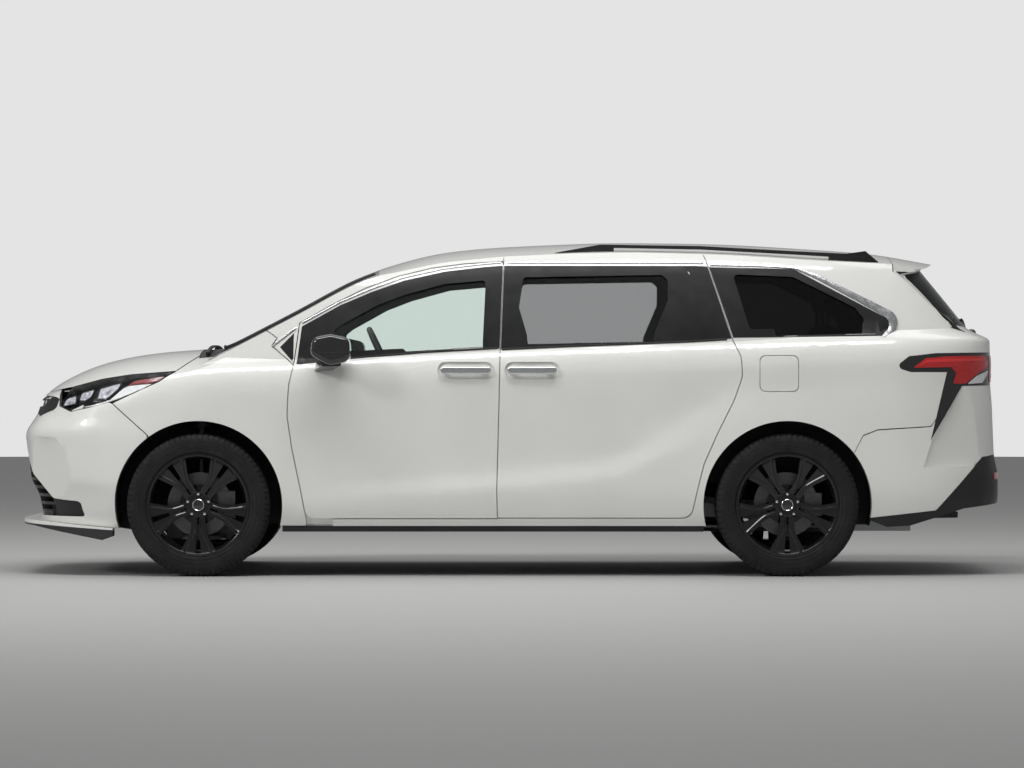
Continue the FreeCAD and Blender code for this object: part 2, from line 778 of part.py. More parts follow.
def build_doors():
    front_door = door(FRONT_DOOR, FRONT_WINDOW, [handle_cup(*FRONT_HANDLE)])
    sliding_door = door(SLIDING_DOOR, SLIDING_WINDOW, [roof_zone, handle_cup(*SLIDING_HANDLE)])
    nodes["front_door_left"] = front_door
    nodes["front_door_right"] = mirrored(front_door)
    nodes["sliding_doors"] = pair(sliding_door)


def build_glass():
    """Side windows, windshield and rear window, each a little inside its frame."""
    raw = wall_solid(cabin_poles(GLASS_INSET)).common(block(front(500), TAIL_X, -1100, 0, 1050, 1800))
    layer = raw.cut(wall_solid(cabin_poles(GLASS_INSET + GLASS_THICKNESS)))
    panes = [layer.common(side_prism(offset_outline(w, -0.3))) for w in (FRONT_WINDOW, SLIDING_WINDOW,
        QUARTER_WINDOW)]
    nodes["front_window_left"] = panes[0]
    nodes["front_window_right"] = mirrored(panes[0])
    nodes["rear_side_windows"] = Part.makeCompound(panes[1:] + [mirrored(pane) for pane in panes[1:]])
    back = layer.common(end_prism(offset_outline(REAR_WINDOW, -0.3), rear(500), TAIL_X))
    nodes["liftgate_window"] = whole(back)
    places = steps(front(-160), front(1100), 110) + [front(1100)]
    nodes["windshield"] = whole(sheet(roof_height, places, 0.5, GLASS_THICKNESS).common(
        plan_prism(WINDSHIELD, 1000, 1800)))


def build_side_panels():
    """Body side in one piece: windshield pillar, sill, door frames, quarter and rear pillar."""
    region = side_prism(SIDE_PANEL)
    hinge_pillar = side_prism(HINGE_PILLAR).cut(region).common(seat)
    tools = [inner, roof_zone, gate_zone, windshield_zone, front_arch, rear_arch]
    for outline in (FRONT_DOOR, SLIDING_DOOR):
        tools.append(side_prism(offset_outline(outline, HALF_GAP)).cut(seat))
        tools.append(side_prism(offset_outline(outline, -FLANGE_STEP)))
    tools.append(side_prism(QUARTER_WINDOW))
    tools.append(side_prism(offset_outline(TAIL_LAMP, 0.5)))
    panel = largest(outer.common(region).fuse(hinge_pillar).cut(tools))
    groove = side_prism(offset_outline(FUEL_DOOR, FUEL_GROOVE / 2), -1100, -900).cut(
        side_prism(offset_outline(FUEL_DOOR, -FUEL_GROOVE / 2), -1110, -890)).cut(skin)
    nodes["side_panel_left"] = largest(panel.cut(groove))
    nodes["side_panel_right"] = mirrored(panel)


def build_front():
    """Fenders, hood, bumper, grille, lip, headlamps and the cowl with its wipers."""
    fender_zone = side_prism(offset_outline(FENDER, -HALF_GAP))
    thin_zone = block(front(327), front(760), -1100, 0, 200, 1310)
    thin = skin.common(thin_zone)
    fender = outer.common(fender_zone).cut([inner, thin, windshield_zone, front_arch,
        plan_prism(COWL, 900, 1300)])
    nodes["front_fenders"] = pair(largest(fender))

    places = steps(NOSE_X - 60, front(117), 90) + [front(117)]
    bonnet = sheet(hood_height, places, 0.0, ROOF_WALL).common(side_prism(offset_outline(HOOD,
        -HALF_GAP)))
    nodes["hood"] = whole(bonnet.common(wall_solid(body_poles(0))))

    cowl = sheet(hood_height, places, 4.0, ROOF_WALL).common(plan_prism(offset_outline(COWL, -1.0), 900,
        1300))
    wipers = []
    for y0, y1 in ((-640.0, -40.0), (30.0, 600.0)):
        x0 = front(28)
        run = [y0 + (y1 - y0) * i / 6 for i in range(7)]
        low = [(y, hood_height(x0, y) + 8.0) for y in run]
        high = [(y, z + 11.0) for y, z in reversed(low)]
        pivot = Part.makeCylinder(12.0, 34.0, vec(x0, y0 + 20.0, low[0][1] - 26.0))
        wipers.append(end_prism(low + high, x0 - 8.0, x0 + 8.0).fuse(pivot))
    nodes["cowl"] = whole(cowl).fuse(wipers)

    bumper_zone = side_prism(offset_outline(FRONT_BUMPER, -HALF_GAP))
    tools = [inner, front_arch]
    tools += [end_prism(outline, NOSE_X - 50, NOSE_X + 420) for outline in (LOWER_GRILLE, UPPER_GRILLE)]
    tools.append(facet(FRONT_FACET, FRONT_FACET_PLANE))
    nodes["front_bumper"] = whole(largest(outer.common(bumper_zone).cut(tools)))

    lamp_zone = side_prism(offset_outline(HEADLAMP, -1.0), -1100, -560)
    nodes["headlamps"] = pair(largest(outer.common(lamp_zone).cut(inner)))

    lower = skin.common(end_prism(offset_outline(LOWER_GRILLE, -0.3), NOSE_X - 50, NOSE_X + 420)).cut(
        [inner] + grille_slots())
    upper = skin.common(end_prism(offset_outline(UPPER_GRILLE, -0.3), NOSE_X - 50,
        NOSE_X + 420)).cut(inner)
    nodes["front_grille"] = Part.makeCompound([whole(largest(lower)), whole(largest(upper))])

    lip_side = [
        (NOSE_X - 10, 262), (NOSE_X - 10, 289), (front(-870), 284), (front(-450), 249),
        (front(-450), 206), (front(-505), 187), (front(-673), 218), (front(-888), 258),
    ]
    rim = [(NOSE_X + corner_distance(share, *NOSE_SHAPE),
        -share * LIP_HALF_WIDTH) for share in END_SHARES]
    rim.append((front(-449), -LIP_HALF_WIDTH))
    back = [(x + 130.0, y * 0.9) for x, y in reversed(rim)]
    lip_plan = rim + [(front(-449), -LIP_HALF_WIDTH * 0.9)] + back[1:]
    nodes["front_lip"] = whole(side_prism(lip_side).common(plan_prism(lip_plan, 100, 400)))


def grille_slots():
    """Slots of the lower grille: rows of long openings with slim bars between them."""
    slots = []
    row = 340.0
    while row < 690.0:
        for y0, y1 in ((-700.0, -480.0), (-460.0, -240.0), (-220.0, -12.0)):
            slots.append(block(NOSE_X - 60, NOSE_X + 420, y0, y1, row, row + 26.0))
        row += 42.0
    return slots


def build_rear():
    """Bumper, diffuser, tailgate with its spoiler, and the lamps."""
    bumper_zone = side_prism(offset_outline(REAR_BUMPER, -HALF_GAP))
    nodes["rear_bumper"] = whole(largest(outer.common(bumper_zone).cut([
        inner, rear_arch, gate_zone, side_prism(offset_outline(TAIL_LAMP, 0.5)),
        facet(REAR_FACET, REAR_FACET_PLANE)])))
    valance_zone = side_prism(offset_outline(REAR_VALANCE, -0.3))
    nodes["rear_valance"] = whole(largest(outer.common(valance_zone).cut([inner, rear_arch, gate_zone])))

    lamp_zone = side_prism(offset_outline(TAIL_LAMP, -0.3))
    body_lamp = largest(outer.common(lamp_zone).cut([inner, gate_zone]))
    nodes["tail_lamps"] = pair(body_lamp)
    gate_lamp_zone = lamp_zone.common(end_prism(GATE_LAMP, rear(500), TAIL_X + 60))
    gate = outer.common(gate_solid)
    nodes["liftgate_lamps"] = pair(largest(gate.common(gate_lamp_zone).cut(inner)))
    opening = side_prism(offset_outline(TAIL_LAMP, 0.3)).common(
        end_prism(offset_outline(GATE_LAMP, 0.3), rear(500), TAIL_X + 60))
    gate = largest(gate.cut([inner, opening, end_prism(REAR_WINDOW, rear(500), TAIL_X)]))
    places = steps(front(900), TAIL_X + 60, 110) + [TAIL_X + 60]
    spoiler = side_prism(SPOILER_SIDE).common(plan_prism(SPOILER_PLAN, 1300, 1900))
    spoiler = spoiler.common(under(roof_height, places, 0.0)).cut(end_prism(REAR_WINDOW, rear(500),
        TAIL_X))
    nodes["liftgate"] = whole(gate.fuse(spoiler))


def build_roof():
    places = steps(front(900), TAIL_X + 60, 110) + [TAIL_X + 60]
    panel = sheet(roof_height, places, 0.0, ROOF_WALL).common(plan_prism(roof_outline(HALF_GAP), 1200,
        1900))
    nodes["roof_panel"] = whole(panel)
    rail_x = [rear(-1204), rear(-967), rear(-440), rear(86), rear(323), rear(425), rear(495)]
    crest = [0.0, 34.0, 34.0, 34.0, 36.0, 54.0, 0.0]
    top = [(x, roof_height(x, rail_y(x)) + rise) for x, rise in zip(rail_x, crest)]
    low = [(x, roof_height(x, rail_y(x)) - 12.0) for x in reversed(rail_x)]
    rail = side_prism(top + low, -760, -600)
    rail = rail.common(plan_prism(
        [(x, rail_y(x) + 14.0) for x in rail_x] + [(x, rail_y(x) - 14.0) for x in reversed(rail_x)],
        1500, 1900))
    places = steps(front(900), TAIL_X + 60, 110) + [TAIL_X + 60]
    rail = rail.cut(under(roof_height, places, -0.3))
    gap_top = [(x, roof_height(x, rail_y(x)) + 16.0) for x in (rear(-895), rear(-440), rear(86),
        rear(231))]
    gap_low = [(x, roof_height(x, rail_y(x)) - 20.0) for x in (rear(231), rear(86), rear(-440),
        rear(-895))]
    nodes["roof_rails"] = pair(largest(rail.cut(side_prism(gap_top + gap_low, -800, -500))))


def rail_y(x):
    return -(roof_edge(x) - 42.0)


def build_underbody():
    """Floor, firewall, wheelhouses, front rails and the crossmember behind the bumper."""
    core = lower_body(SIDE_WALL + 0.3, ROOF_WALL + 8.0)
    under_rear = REAR_FLOOR_Z - 30.0
    floor = core.common(side_prism(
        [
            (front(425), SILL_Z), (front(425), FLOOR_Z), (rear(-576), FLOOR_Z),
            (rear(-576), REAR_FLOOR_Z),
            (rear(345), REAR_FLOOR_Z), (rear(375), FLOOR_Z + 30), (TAIL_X - 245, FLOOR_Z + 30),
            (TAIL_X - 245, FLOOR_Z), (rear(345), FLOOR_Z), (rear(315), under_rear),
            (rear(-546), under_rear),
            (rear(-546), SILL_Z),
        ]))
    wall = core.common(block(front(395), front(425), -1000, 0, SILL_Z, 1079))
    houses = []
    bores = []
    for x, reach, radius in ((FRONT_AXLE_X, 530.0, ARCH_RADIUS + 4.0),
        (REAR_AXLE_X, 700.0, ARCH_RADIUS + 4.0)):
        shell = arch(x, radius + 6.0, -1000, -reach + 6.0).common(block(x - 600, x + 600, -1000, 0,
            SILL_Z, 1000))
        houses.append(core.common(shell))
        bores.append(arch(x, radius, -1100, -reach))
    rail = block(NOSE_X + 201, front(396), RAIL_Y - 80, RAIL_Y, RAIL_LOW_Z, RAIL_LOW_Z + 100)
    support = block(NOSE_X + 200, NOSE_X + 240, -505, 0, 320, 860).cut(
        block(NOSE_X + 180, NOSE_X + 260, -400, 20, 360, 800))
    tunnel = block(front(420), rear(-500), -120, 0, FLOOR_Z - 1, FLOOR_Z + 60)
    tower = kingpin_tube(94.0, AXLE_HEIGHT + 415, AXLE_HEIGHT + 500)
    well = kingpin_tube(84.0, AXLE_HEIGHT + 380, AXLE_HEIGHT + 490)
    pivot = kingpin_tube(BALL_PIN / 2 + PIN_CLEARANCE, AXLE_HEIGHT + 480, AXLE_HEIGHT + 510)
    leg_room = block(rear(-545), rear(210), -760, -500, 200, AXLE_HEIGHT + 110)
    pads = [block(x - 45, x + 45, -830, -770, JACK_PAD_Z, SILL_Z + 1) for x in JACK_PAD_X]
    body = floor.fuse([wall, rail, support, tunnel, tower] + houses + pads).cut(bores + [well, pivot,
        leg_room])
    nodes["underbody"] = whole(largest(body))


def build_wheels():
    """Rims with five pairs of spokes and brake discs, and tyres with grooved treads."""
    for side, y_sign in (("left", -1.0), ("right", 1.0)):
        for end, x in (("front", FRONT_AXLE_X), ("rear", REAR_AXLE_X)):
            spin = FreeCAD.Placement(vec(x, y_sign * WHEEL_Y, AXLE_HEIGHT), FreeCAD.Rotation())
            flip = FreeCAD.Placement(vec(0, 0, 0), FreeCAD.Rotation(vec(0, 0, 1),
                0 if y_sign < 0 else 180))
            for kind, shape in (("rim", RIM), ("tyre", TYRE)):
                piece = shape.copy()
                piece.Placement = spin.multiply(flip)
                nodes["_".join((kind, end, side))] = piece


def revolved(profile):
    """Solid swept by a closed (y, radius) outline round the wheel axis."""
    face = Part.Face(outline_wire(profile, lambda p: vec(0, p.x, p.y)))
    return face.revolve(vec(0, 0, 0), vec(0, 1, 0), 360)


def make_tyre():
    """Tyre section: beads, bulged sidewalls, rounded shoulders and a grooved tread."""
    half = TYRE_WIDTH / 2
    bead = RIM_RADIUS - BEAD_DROP
    tread = TYRE_RADIUS
    side = [
        (-half + FLANGE_INSIDE, bead, BEAD_ROUND), (-half + FLANGE_INSIDE, FLANGE_RADIUS + 0.4),
        (-half + 5, FLANGE_RADIUS + 2, 4),
        (-half, bead + 45, 60), (-half + 8, tread - 32, 40),
        (-half + 26, tread - 6, 30), (-half + 44, tread - 1.5),
    ]
    grooves = []
    for centre in (-54.0, -18.0, 18.0, 54.0):
        grooves += [
            (centre - 5, tread), (centre - 4, tread - 7), (centre + 4, tread - 7), (centre + 5, tread),
        ]
    other = [(-y, r) + tuple(rest) for y, r, *rest in reversed(side)]
    inside = [(half - 26, bead), (half - 14, bead + 45, 30), (half - 34, tread - 22, 25),
              (-half + 34, tread - 22, 25), (-half + 14, bead + 45, 30), (-half + 26, bead)]
    return revolved(side + grooves + other + inside)


def make_rim():
    """Rim: barrel with flanges, hub with a bearing bore, spokes cut from a dished disc, and the brake disc."""
    half = TYRE_WIDTH / 2
    seat_radius = RIM_RADIUS - BEAD_DROP - SEAT_GAP
    edge = half - FLANGE_INSIDE + SEAT_GAP
    barrel = revolved([
        (-edge, FLANGE_RADIUS, 3), (-half + 8, FLANGE_RADIUS, 3), (-half + 8, RIM_RADIUS - 12, 8),
        (-half + 30, RIM_RADIUS - 26, 10), (half - 20, RIM_RADIUS - 26, 10),
        (half - 8, RIM_RADIUS - 10, 6),
        (half - 8, FLANGE_RADIUS, 3), (edge, FLANGE_RADIUS, 3), (edge, seat_radius, BEAD_ROUND - 1),
        (half - 40, seat_radius - 8, 8), (-half + 40, seat_radius - 8, 8),
        (-edge, seat_radius, BEAD_ROUND - 1),
    ])
    dish = revolved([
        (-half + 34, 0), (-half + 30, 70, 20), (-half + 14, RIM_RADIUS - 26, 20),
        (-half + 14, RIM_RADIUS - 8),
        (-half + 44, RIM_RADIUS - 8), (-half + 52, RIM_RADIUS - 40, 20), (-half + 76, 80, 20),
        (-half + 76, 0),
    ])
    spokes = []
    for i in range(5):
        for lean in (-1.0, 1.0):
            spoke = outline_wire(
                [
                    (lean * 5, 30), (lean * 34, 60), (lean * 38, 140, 60), (lean * 96, RIM_RADIUS - 18),
                    (lean * 16, RIM_RADIUS - 8), (lean * 7, 130, 60),
                ],
                lambda p: vec(p.x, -half, p.y),
            )
            blade = Part.Face(spoke).extrude(vec(0, TYRE_WIDTH, 0))
            blade.rotate(vec(0, 0, 0), vec(0, 1, 0), 72.0 * i + 36.0)
            spokes.append(blade)
    hub = revolved([(-half + 30, 0), (-half + 30, 62, 8), (-half + 44, 74, 8), (20, 74), (20, 0)])
    star = dish.common(spokes[0].fuse(spokes[1:]))
    disc = revolved([(-2, 60), (-2, 88), (22, 88), (22, 168), (46, 168), (46, 78), (10, 78), (10, 60)])
    bore = Part.makeCylinder(HUB_BORE / 2, 100, vec(0, -20, 0), vec(0, 1, 0))
    rim = barrel.fuse([star, hub, disc]).cut(bore)
    nuts = []
    for i in range(5):
        angle = math.radians(72.0 * i)
        centre = vec(NUT_CIRCLE * math.sin(angle), -half + 26, NUT_CIRCLE * math.cos(angle))
        nuts.append(Part.makeCylinder(10.5, 16, centre, vec(0, 1, 0)))
    return largest(rim.fuse(nuts))


def kingpin(z, side=-1.0):
    """Point of the steering axis at a height."""
    share = (z - KINGPIN_LOW_Z) / (KINGPIN_HIGH_Z - KINGPIN_LOW_Z)
    return vec(FRONT_AXLE_X, side * (KINGPIN_LOW_Y + (KINGPIN_HIGH_Y - KINGPIN_LOW_Y) * share), z)


def kingpin_tube(radius, z_low, z_high):
    start, end = kingpin(z_low), kingpin(z_high)
    return Part.makeCylinder(radius, (end - start).Length, start, end - start)


def build_knuckles():
    """Steered hub carriers, each with its spindle, brake calliper and strut."""
    x = FRONT_AXLE_X
    z = AXLE_HEIGHT
    face = -WHEEL_Y + 62.0
    carrier = block(x - 48, x + 48, face, face + 80, z - 156, z + 140)
    spindle = axle_cylinder(x, z, SPINDLE / 2, -WHEEL_Y - 15, face + 10)
    ball = kingpin_tube(BALL_PIN / 2, z - 185, z - 150)
    pivot = kingpin_tube(BALL_PIN / 2, z + 465, z + 505)
    strut = kingpin_tube(26.0, z + 100, z + 400)
    spring = kingpin_tube(40.0, z + 392, z + 470)
    for i in range(4):
        spring = spring.fuse(kingpin_tube(62.0, z + 396 + 19 * i, z + 406 + 19 * i))
    calliper = block(x + 95, x + 186, -WHEEL_Y + 8, face + 20, z - 70, z + 70)
    calliper = calliper.cut(axle_cylinder(x, z, 174.0, -WHEEL_Y + 17, -WHEEL_Y + 51))
    bracket = block(x + 40, x + 110, face, face + 20, z - 50, z + 50)
    knuckle = carrier.fuse([spindle, ball, pivot, strut, spring, calliper, bracket])
    nodes["knuckle_left"] = knuckle
    nodes["knuckle_right"] = mirrored(knuckle)


def build_suspension():
    """Front subframe with its lower arms, and rear axle beam with arms, springs and spindles."""
    x = FRONT_AXLE_X
    z = AXLE_HEIGHT
    subframe = block(x - 200, x + 220, -500, 0, z - 190, z - 120).cut(
        block(x - 130, x + 140, -350, 10, z - 200, z - 100))
    posts = [block(x + start, x + start + 60, -495, -435, z - 130,
        RAIL_LOW_Z - SEAT_GAP) for start in (-190, 150)]
    arm = plan_prism(
        [
            (x - 160, -400), (x + 160, -400), (x + 36, -KINGPIN_LOW_Y + 40, 40),
            (x + 27, -KINGPIN_LOW_Y - ARM_TIP, 25), (x - 27, -KINGPIN_LOW_Y - ARM_TIP, 25),
            (x - 36, -KINGPIN_LOW_Y + 40, 40),
        ],
        z - 190, z - 168)
    arm = arm.cut(kingpin_tube(BALL_PIN / 2 + PIN_CLEARANCE, z - 200, z - 150))
    nodes["front_suspension"] = whole(subframe.fuse(posts + [arm]))

    x = REAR_AXLE_X
    face = -WHEEL_Y + 62.0
    carrier = block(x - 50, x + 50, face, face + 70, z - 80, z + 80)
    spindle = axle_cylinder(x, z, SPINDLE / 2, -WHEEL_Y - 15, face + 10)
    beam = axle_cylinder(x - 60, z - 60, 34.0, -700, 0)
    arm = side_prism(
        [
            (rear(-546) + SEAT_GAP, z + 15), (rear(-546) + SEAT_GAP, z - 60), (x + 60, z - 90, 20),
            (x + 60, z - 30, 20),
        ], -735, -640)
    spring = Part.makeCylinder(52, REAR_FLOOR_Z - 30 - SEAT_GAP - (z - 60), vec(x + 10, -600, z - 60))
    perch = block(x - 60, x + 80, -700, -540, z - 85, z - 55)
    calliper = block(x + 95, x + 186, -WHEEL_Y + 8, face + 20, z - 60, z + 60)
    calliper = calliper.cut(axle_cylinder(x, z, 174.0, -WHEEL_Y + 17, -WHEEL_Y + 51))
    bracket = block(x + 40, x + 110, face, face + 20, z - 50, z + 50)
    half = carrier.fuse([spindle, beam, arm, spring, perch, calliper, bracket])
    nodes["rear_suspension"] = whole(half)


def build_drivetrain():
    """Engine with its transaxle as one block between the rails, and the exhaust."""
    nodes["engine_block"] = block(front(-520), front(130), RAIL_Y + SEAT_GAP, -RAIL_Y - SEAT_GAP, 330,
        900)
    pipe = Part.makeCylinder(28, rear(400) - front(380), vec(front(380), 190, 224), vec(1, 0, 0))
    muffler = block(rear(380), rear(700), -300, 300, 215, FLOOR_Z - SEAT_GAP)
    hangers = [block(x, x + 30, 180, 200, 230, SILL_Z - SEAT_GAP) for x in (front(600), front(1300),
        front(2000))]
    nodes["exhaust"] = pipe.fuse([muffler] + hangers)


def seat_form(x, y, width, floor_z, sink=0.0):
    """Seat on a floor, with its base, cushion, back and headrest across a width, lower by the sink."""
    def slab(points, share):
        placed = [(x + p[0], floor_z - sink + p[1]) + tuple(p[2:]) for p in points]
        return side_prism(placed, y - share * width / 2, y + share * width / 2)

    low = sink + SEAT_GAP
    base = slab([(-260, low), (-240, 230), (120, 230), (150, low)], 0.7)
    cushion = slab(
        [(-330, 250, 30), (-345, 330, 40), (-290, 372, 50), (60, 335, 40), (100, 220, 30),
            (-300, 220, 30)], 1.0)
    back = slab(
        [(10, 260, 50), (130, 850, 60), (160, 905, 30), (230, 905, 40), (255, 840, 60), (170, 220, 40),
            (60, 220, 40)],
        0.96)
    post = slab([(170, 880), (178, 960), (210, 960), (206, 880)], 0.3)
    headrest = slab([(150, 945, 30), (165, 1105, 40), (245, 1110, 40), (262, 950, 30)], 0.5)
    return base.fuse([cushion, back, post, headrest])


def build_interior():
    """Dashboard with the steering column, and three rows of seats."""
    core = lower_body(SIDE_WALL + 6.0, ROOF_WALL + 8.0).fuse(upper_body(PILLAR_WALL + 6.0,
        ROOF_WALL + 8.0))
    panel = side_prism(
        [
            (front(180), 1132), (front(500), 1178, 80), (front(760), 1160, 50), (front(790), 1040, 60),
            (front(700), 800, 60), (front(560), 640, 40), (front(425.3), 640), (front(425.3), 1080),
            (front(180), 1080),
        ], -1000, 0)
    panel = core.common(panel)
    hub = STEERING_CENTRE
    axis = STEERING_AXIS
    shroud = Part.makeCylinder(42, 210, hub - axis * 60 - axis * 210, axis)
    bore = Part.makeCylinder(SHAFT / 2 + PIN_CLEARANCE, 160, hub - axis * 60 - axis * 150, axis)
    nodes["dashboard"] = largest(whole(panel).fuse(shroud).cut(bore))

    ring = Part.makeTorus(176, 15, hub, axis)
    boss = Part.makeCylinder(62, 40, hub - axis * 50, axis)
    shaft = Part.makeCylinder(SHAFT / 2, 150, hub - axis * 170, axis)
    across = vec(0, 1, 0)
    spokes = [
        Part.makeBox(24, 350, 22, vec(-12, -175, -11)),
        Part.makeBox(170, 34, 20, vec(0, -17, -10)),
    ]
    for spoke in spokes:
        spoke.rotate(vec(0, 0, 0), across, 90.0 - STEERING_RAKE)
        spoke.translate(hub - axis * 20)
    nodes["steering_wheel"] = ring.fuse([boss, shaft] + spokes)

    front_row = seat_form(front(1350), -385, 540, FLOOR_Z)
    middle_row = seat_form(front(2285), -385, 540, FLOOR_Z)
    nodes["front_seats"] = pair(front_row)
    nodes["middle_seats"] = pair(middle_row)
    nodes["rear_seats"] = seat_form(rear(60), 0, 1240, REAR_FLOOR_Z, 150.0)


def build_door_fittings():
    """Mirrors on the front doors and the pull handles of all four doors."""
    shell = side_prism(
        [
            (front(590), 1150, 40), (front(604), 1240, 40), (front(700), 1258, 60),
            (front(792), 1238, 40),
            (front(800), 1118, 45), (front(690), 1096, 60),
        ], -1185, -985)
    rim = [edge for edge in shell.Edges if edge.BoundBox.YMax < -1184]
    shell = shell.makeFillet(28, rim)
    foot = outline_wire([(front(575), 1046, 8), (front(680), 1060, 8), (front(690), 1108, 8),
        (front(600), 1104, 8)],
                        lambda p: vec(p.x, -880, p.y))
    top = outline_wire([(front(640), 1090, 8), (front(745), 1092, 8), (front(750), 1140, 8),
        (front(650), 1138, 8)],
                       lambda p: vec(p.x, -1060, p.y))
    mirror_piece = shell.fuse(Part.makeLoft([foot, top], True)).cut(outer)
    nodes["mirror_left"] = mirror_piece
    nodes["mirror_right"] = mirrored(mirror_piece)

    def handle(x0, x1):
        skin_y = -side_y((x0 + x1) / 2, HANDLE_Z)
        bar = side_prism(
            [(x0, HANDLE_Z - 20, 19), (x0, HANDLE_Z + 20, 19), (x1, HANDLE_Z + 20, 19),
                (x1, HANDLE_Z - 20, 19)],
            skin_y - 32, skin_y - 12)
        rim = [edge for edge in bar.Edges if edge.BoundBox.YMax < skin_y - 31]
        bar = bar.makeFillet(9, rim)
        feet = [block(x, x + 34, skin_y - 20, skin_y + 30, HANDLE_Z - 14,
            HANDLE_Z + 14) for x in (x0 + 16, x1 - 50)]
        return bar.fuse(feet).cut(wall_solid(body_poles(CUP_DEPTH)))

    front_handle = handle(*FRONT_HANDLE)
    nodes["front_handle_left"] = front_handle
    nodes["front_handle_right"] = mirrored(front_handle)
    nodes["sliding_door_handles"] = pair(handle(*SLIDING_HANDLE))


def build_sill_trims():
    """Black strips under the sills."""
    places = [front(436) + (rear(-436) - front(436)) * i / 6 for i in range(7)]
    rim = [(x, -side_y(x, SILL_Z - 12) + 3.0) for x in places]
    back = [(x, y + 80.0) for x, y in reversed(rim)]
    nodes["sill_trims"] = pair(plan_prism(rim + back, SILL_Z - 30.0, SILL_Z - SEAT_GAP))


TYRE = make_tyre()
RIM = make_rim()

build_doors()
build_glass()
build_side_panels()
build_front()
build_rear()
build_roof()
build_underbody()
build_wheels()
build_knuckles()
build_suspension()
build_drivetrain()
build_interior()
build_door_fittings()
build_sill_trims()

os.makedirs("parts", exist_ok=True)
for name, shape in nodes.items():
    shape.exportStep("parts/" + name + ".step")
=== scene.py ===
import math

import bpy
from mathutils import Matrix, Vector
from mathutils.bvhtree import BVHTree
from mathutils.geometry import delaunay_2d_cdt


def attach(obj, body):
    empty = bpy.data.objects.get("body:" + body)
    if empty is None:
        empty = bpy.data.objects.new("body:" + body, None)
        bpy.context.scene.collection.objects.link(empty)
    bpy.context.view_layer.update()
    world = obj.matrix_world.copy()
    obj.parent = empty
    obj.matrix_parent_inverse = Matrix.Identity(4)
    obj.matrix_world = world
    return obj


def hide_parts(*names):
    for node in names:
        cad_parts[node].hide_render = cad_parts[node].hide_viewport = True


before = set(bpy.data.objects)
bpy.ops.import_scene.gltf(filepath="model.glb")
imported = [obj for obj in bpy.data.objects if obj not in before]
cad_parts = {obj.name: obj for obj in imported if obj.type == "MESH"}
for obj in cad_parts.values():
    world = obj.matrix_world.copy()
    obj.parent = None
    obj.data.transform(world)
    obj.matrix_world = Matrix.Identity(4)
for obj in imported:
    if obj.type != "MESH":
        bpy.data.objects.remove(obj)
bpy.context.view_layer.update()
scene = bpy.context.scene

# Places in metres: x runs from front to back, y from left to right and z up
FRONT_AXLE_X = -1.617
REAR_AXLE_X = 1.443
WHEEL_Y = 0.8575
AXLE_Z = 0.3715
LEFT, RIGHT = -1, 1
SIDES = ((LEFT, "left"), (RIGHT, "right"))
EYE = Vector((0.013, -22.975, 1.0))


# Materials

BLACK = (0.018, 0.018, 0.019)
PAINT = (0.85, 0.847, 0.82)
LIP_SLOPE = 0.064
LIP_EDGE = 0.1069
LIP_BLUR = 0.0005
# The materials made here, by name, because the frame brings others under some of these names
MATERIALS = {}


def set_inputs(node, **values):
    """Sets a node's inputs by name, with underscores for spaces."""
    for key, value in values.items():
        node.inputs[key.replace("_", " ")].default_value = value


class Graph:
    """Builds a node material on one Principled shader."""

    def __init__(self, name, colour, roughness, **inputs):
        material = bpy.data.materials.new(name)
        MATERIALS[name] = material
        material.use_nodes = True
        self.tree = material.node_tree
        self.shader = self.tree.nodes["Principled BSDF"]
        set_inputs(self.shader, Base_Color=(*colour, 1), Roughness=roughness, **inputs)
        self.place = self.node("ShaderNodeTexCoord").outputs["Object"]

    def node(self, kind, **inputs):
        node = self.tree.nodes.new(kind)
        set_inputs(node, **inputs)
        return node

    def link(self, source, target):
        self.tree.links.new(source, target)

    def texture(self, kind, output, **inputs):
        texture = self.node(kind, **inputs)
        self.link(self.place, texture.inputs["Vector"])
        return texture.outputs[output]

    def noise(self, scale, detail):
        return self.texture("ShaderNodeTexNoise", "Fac", Scale=scale, Detail=detail)

    def cells(self, scale):
        return self.texture("ShaderNodeTexVoronoi", "Distance", Scale=scale)

    def along(self, axis):
        return self.texture("ShaderNodeSeparateXYZ", axis)

    def spread(self, source, low, high, start=0.35, end=0.65):
        """Maps a texture's values between two numbers."""
        ramp = self.node("ShaderNodeMapRange", From_Min=start, From_Max=end, To_Min=low, To_Max=high)
        self.link(source, ramp.inputs["Value"])
        return ramp.outputs["Result"]

    def colours(self, source, stops):
        ramp = self.node("ShaderNodeValToRGB")
        elements = ramp.color_ramp.elements
        while len(elements) < len(stops):
            elements.new(0.5)
        for element, (place, colour) in zip(elements, stops):
            element.position = place
            element.color = (*colour, 1)
        self.link(source, ramp.inputs["Fac"])
        self.link(ramp.outputs["Color"], self.shader.inputs["Base Color"])

    def rough(self, source, low, high):
        self.link(self.spread(source, low, high), self.shader.inputs["Roughness"])

    def bump(self, source, strength, distance):
        bump = self.node("ShaderNodeBump", Strength=strength, Distance=distance)
        self.link(source, bump.inputs["Height"])
        self.link(bump.outputs["Normal"], self.shader.inputs["Normal"])


def plain_plastic(name, colour, roughness, grain, depth, **sockets):
    """Plastic, rubber, leather or cloth with a fine grain and a slightly uneven colour and shine."""
    g = Graph(name, colour, roughness, **sockets)
    g.bump(g.noise(grain, 2), 0.35, depth)
    g.rough(g.noise(14, 5), roughness - 0.07, roughness + 0.07)
    shade = [min(1, c * 1.25 + 0.004) for c in colour]
    g.colours(g.noise(6, 6), [(0.3, colour), (0.7, shade)])


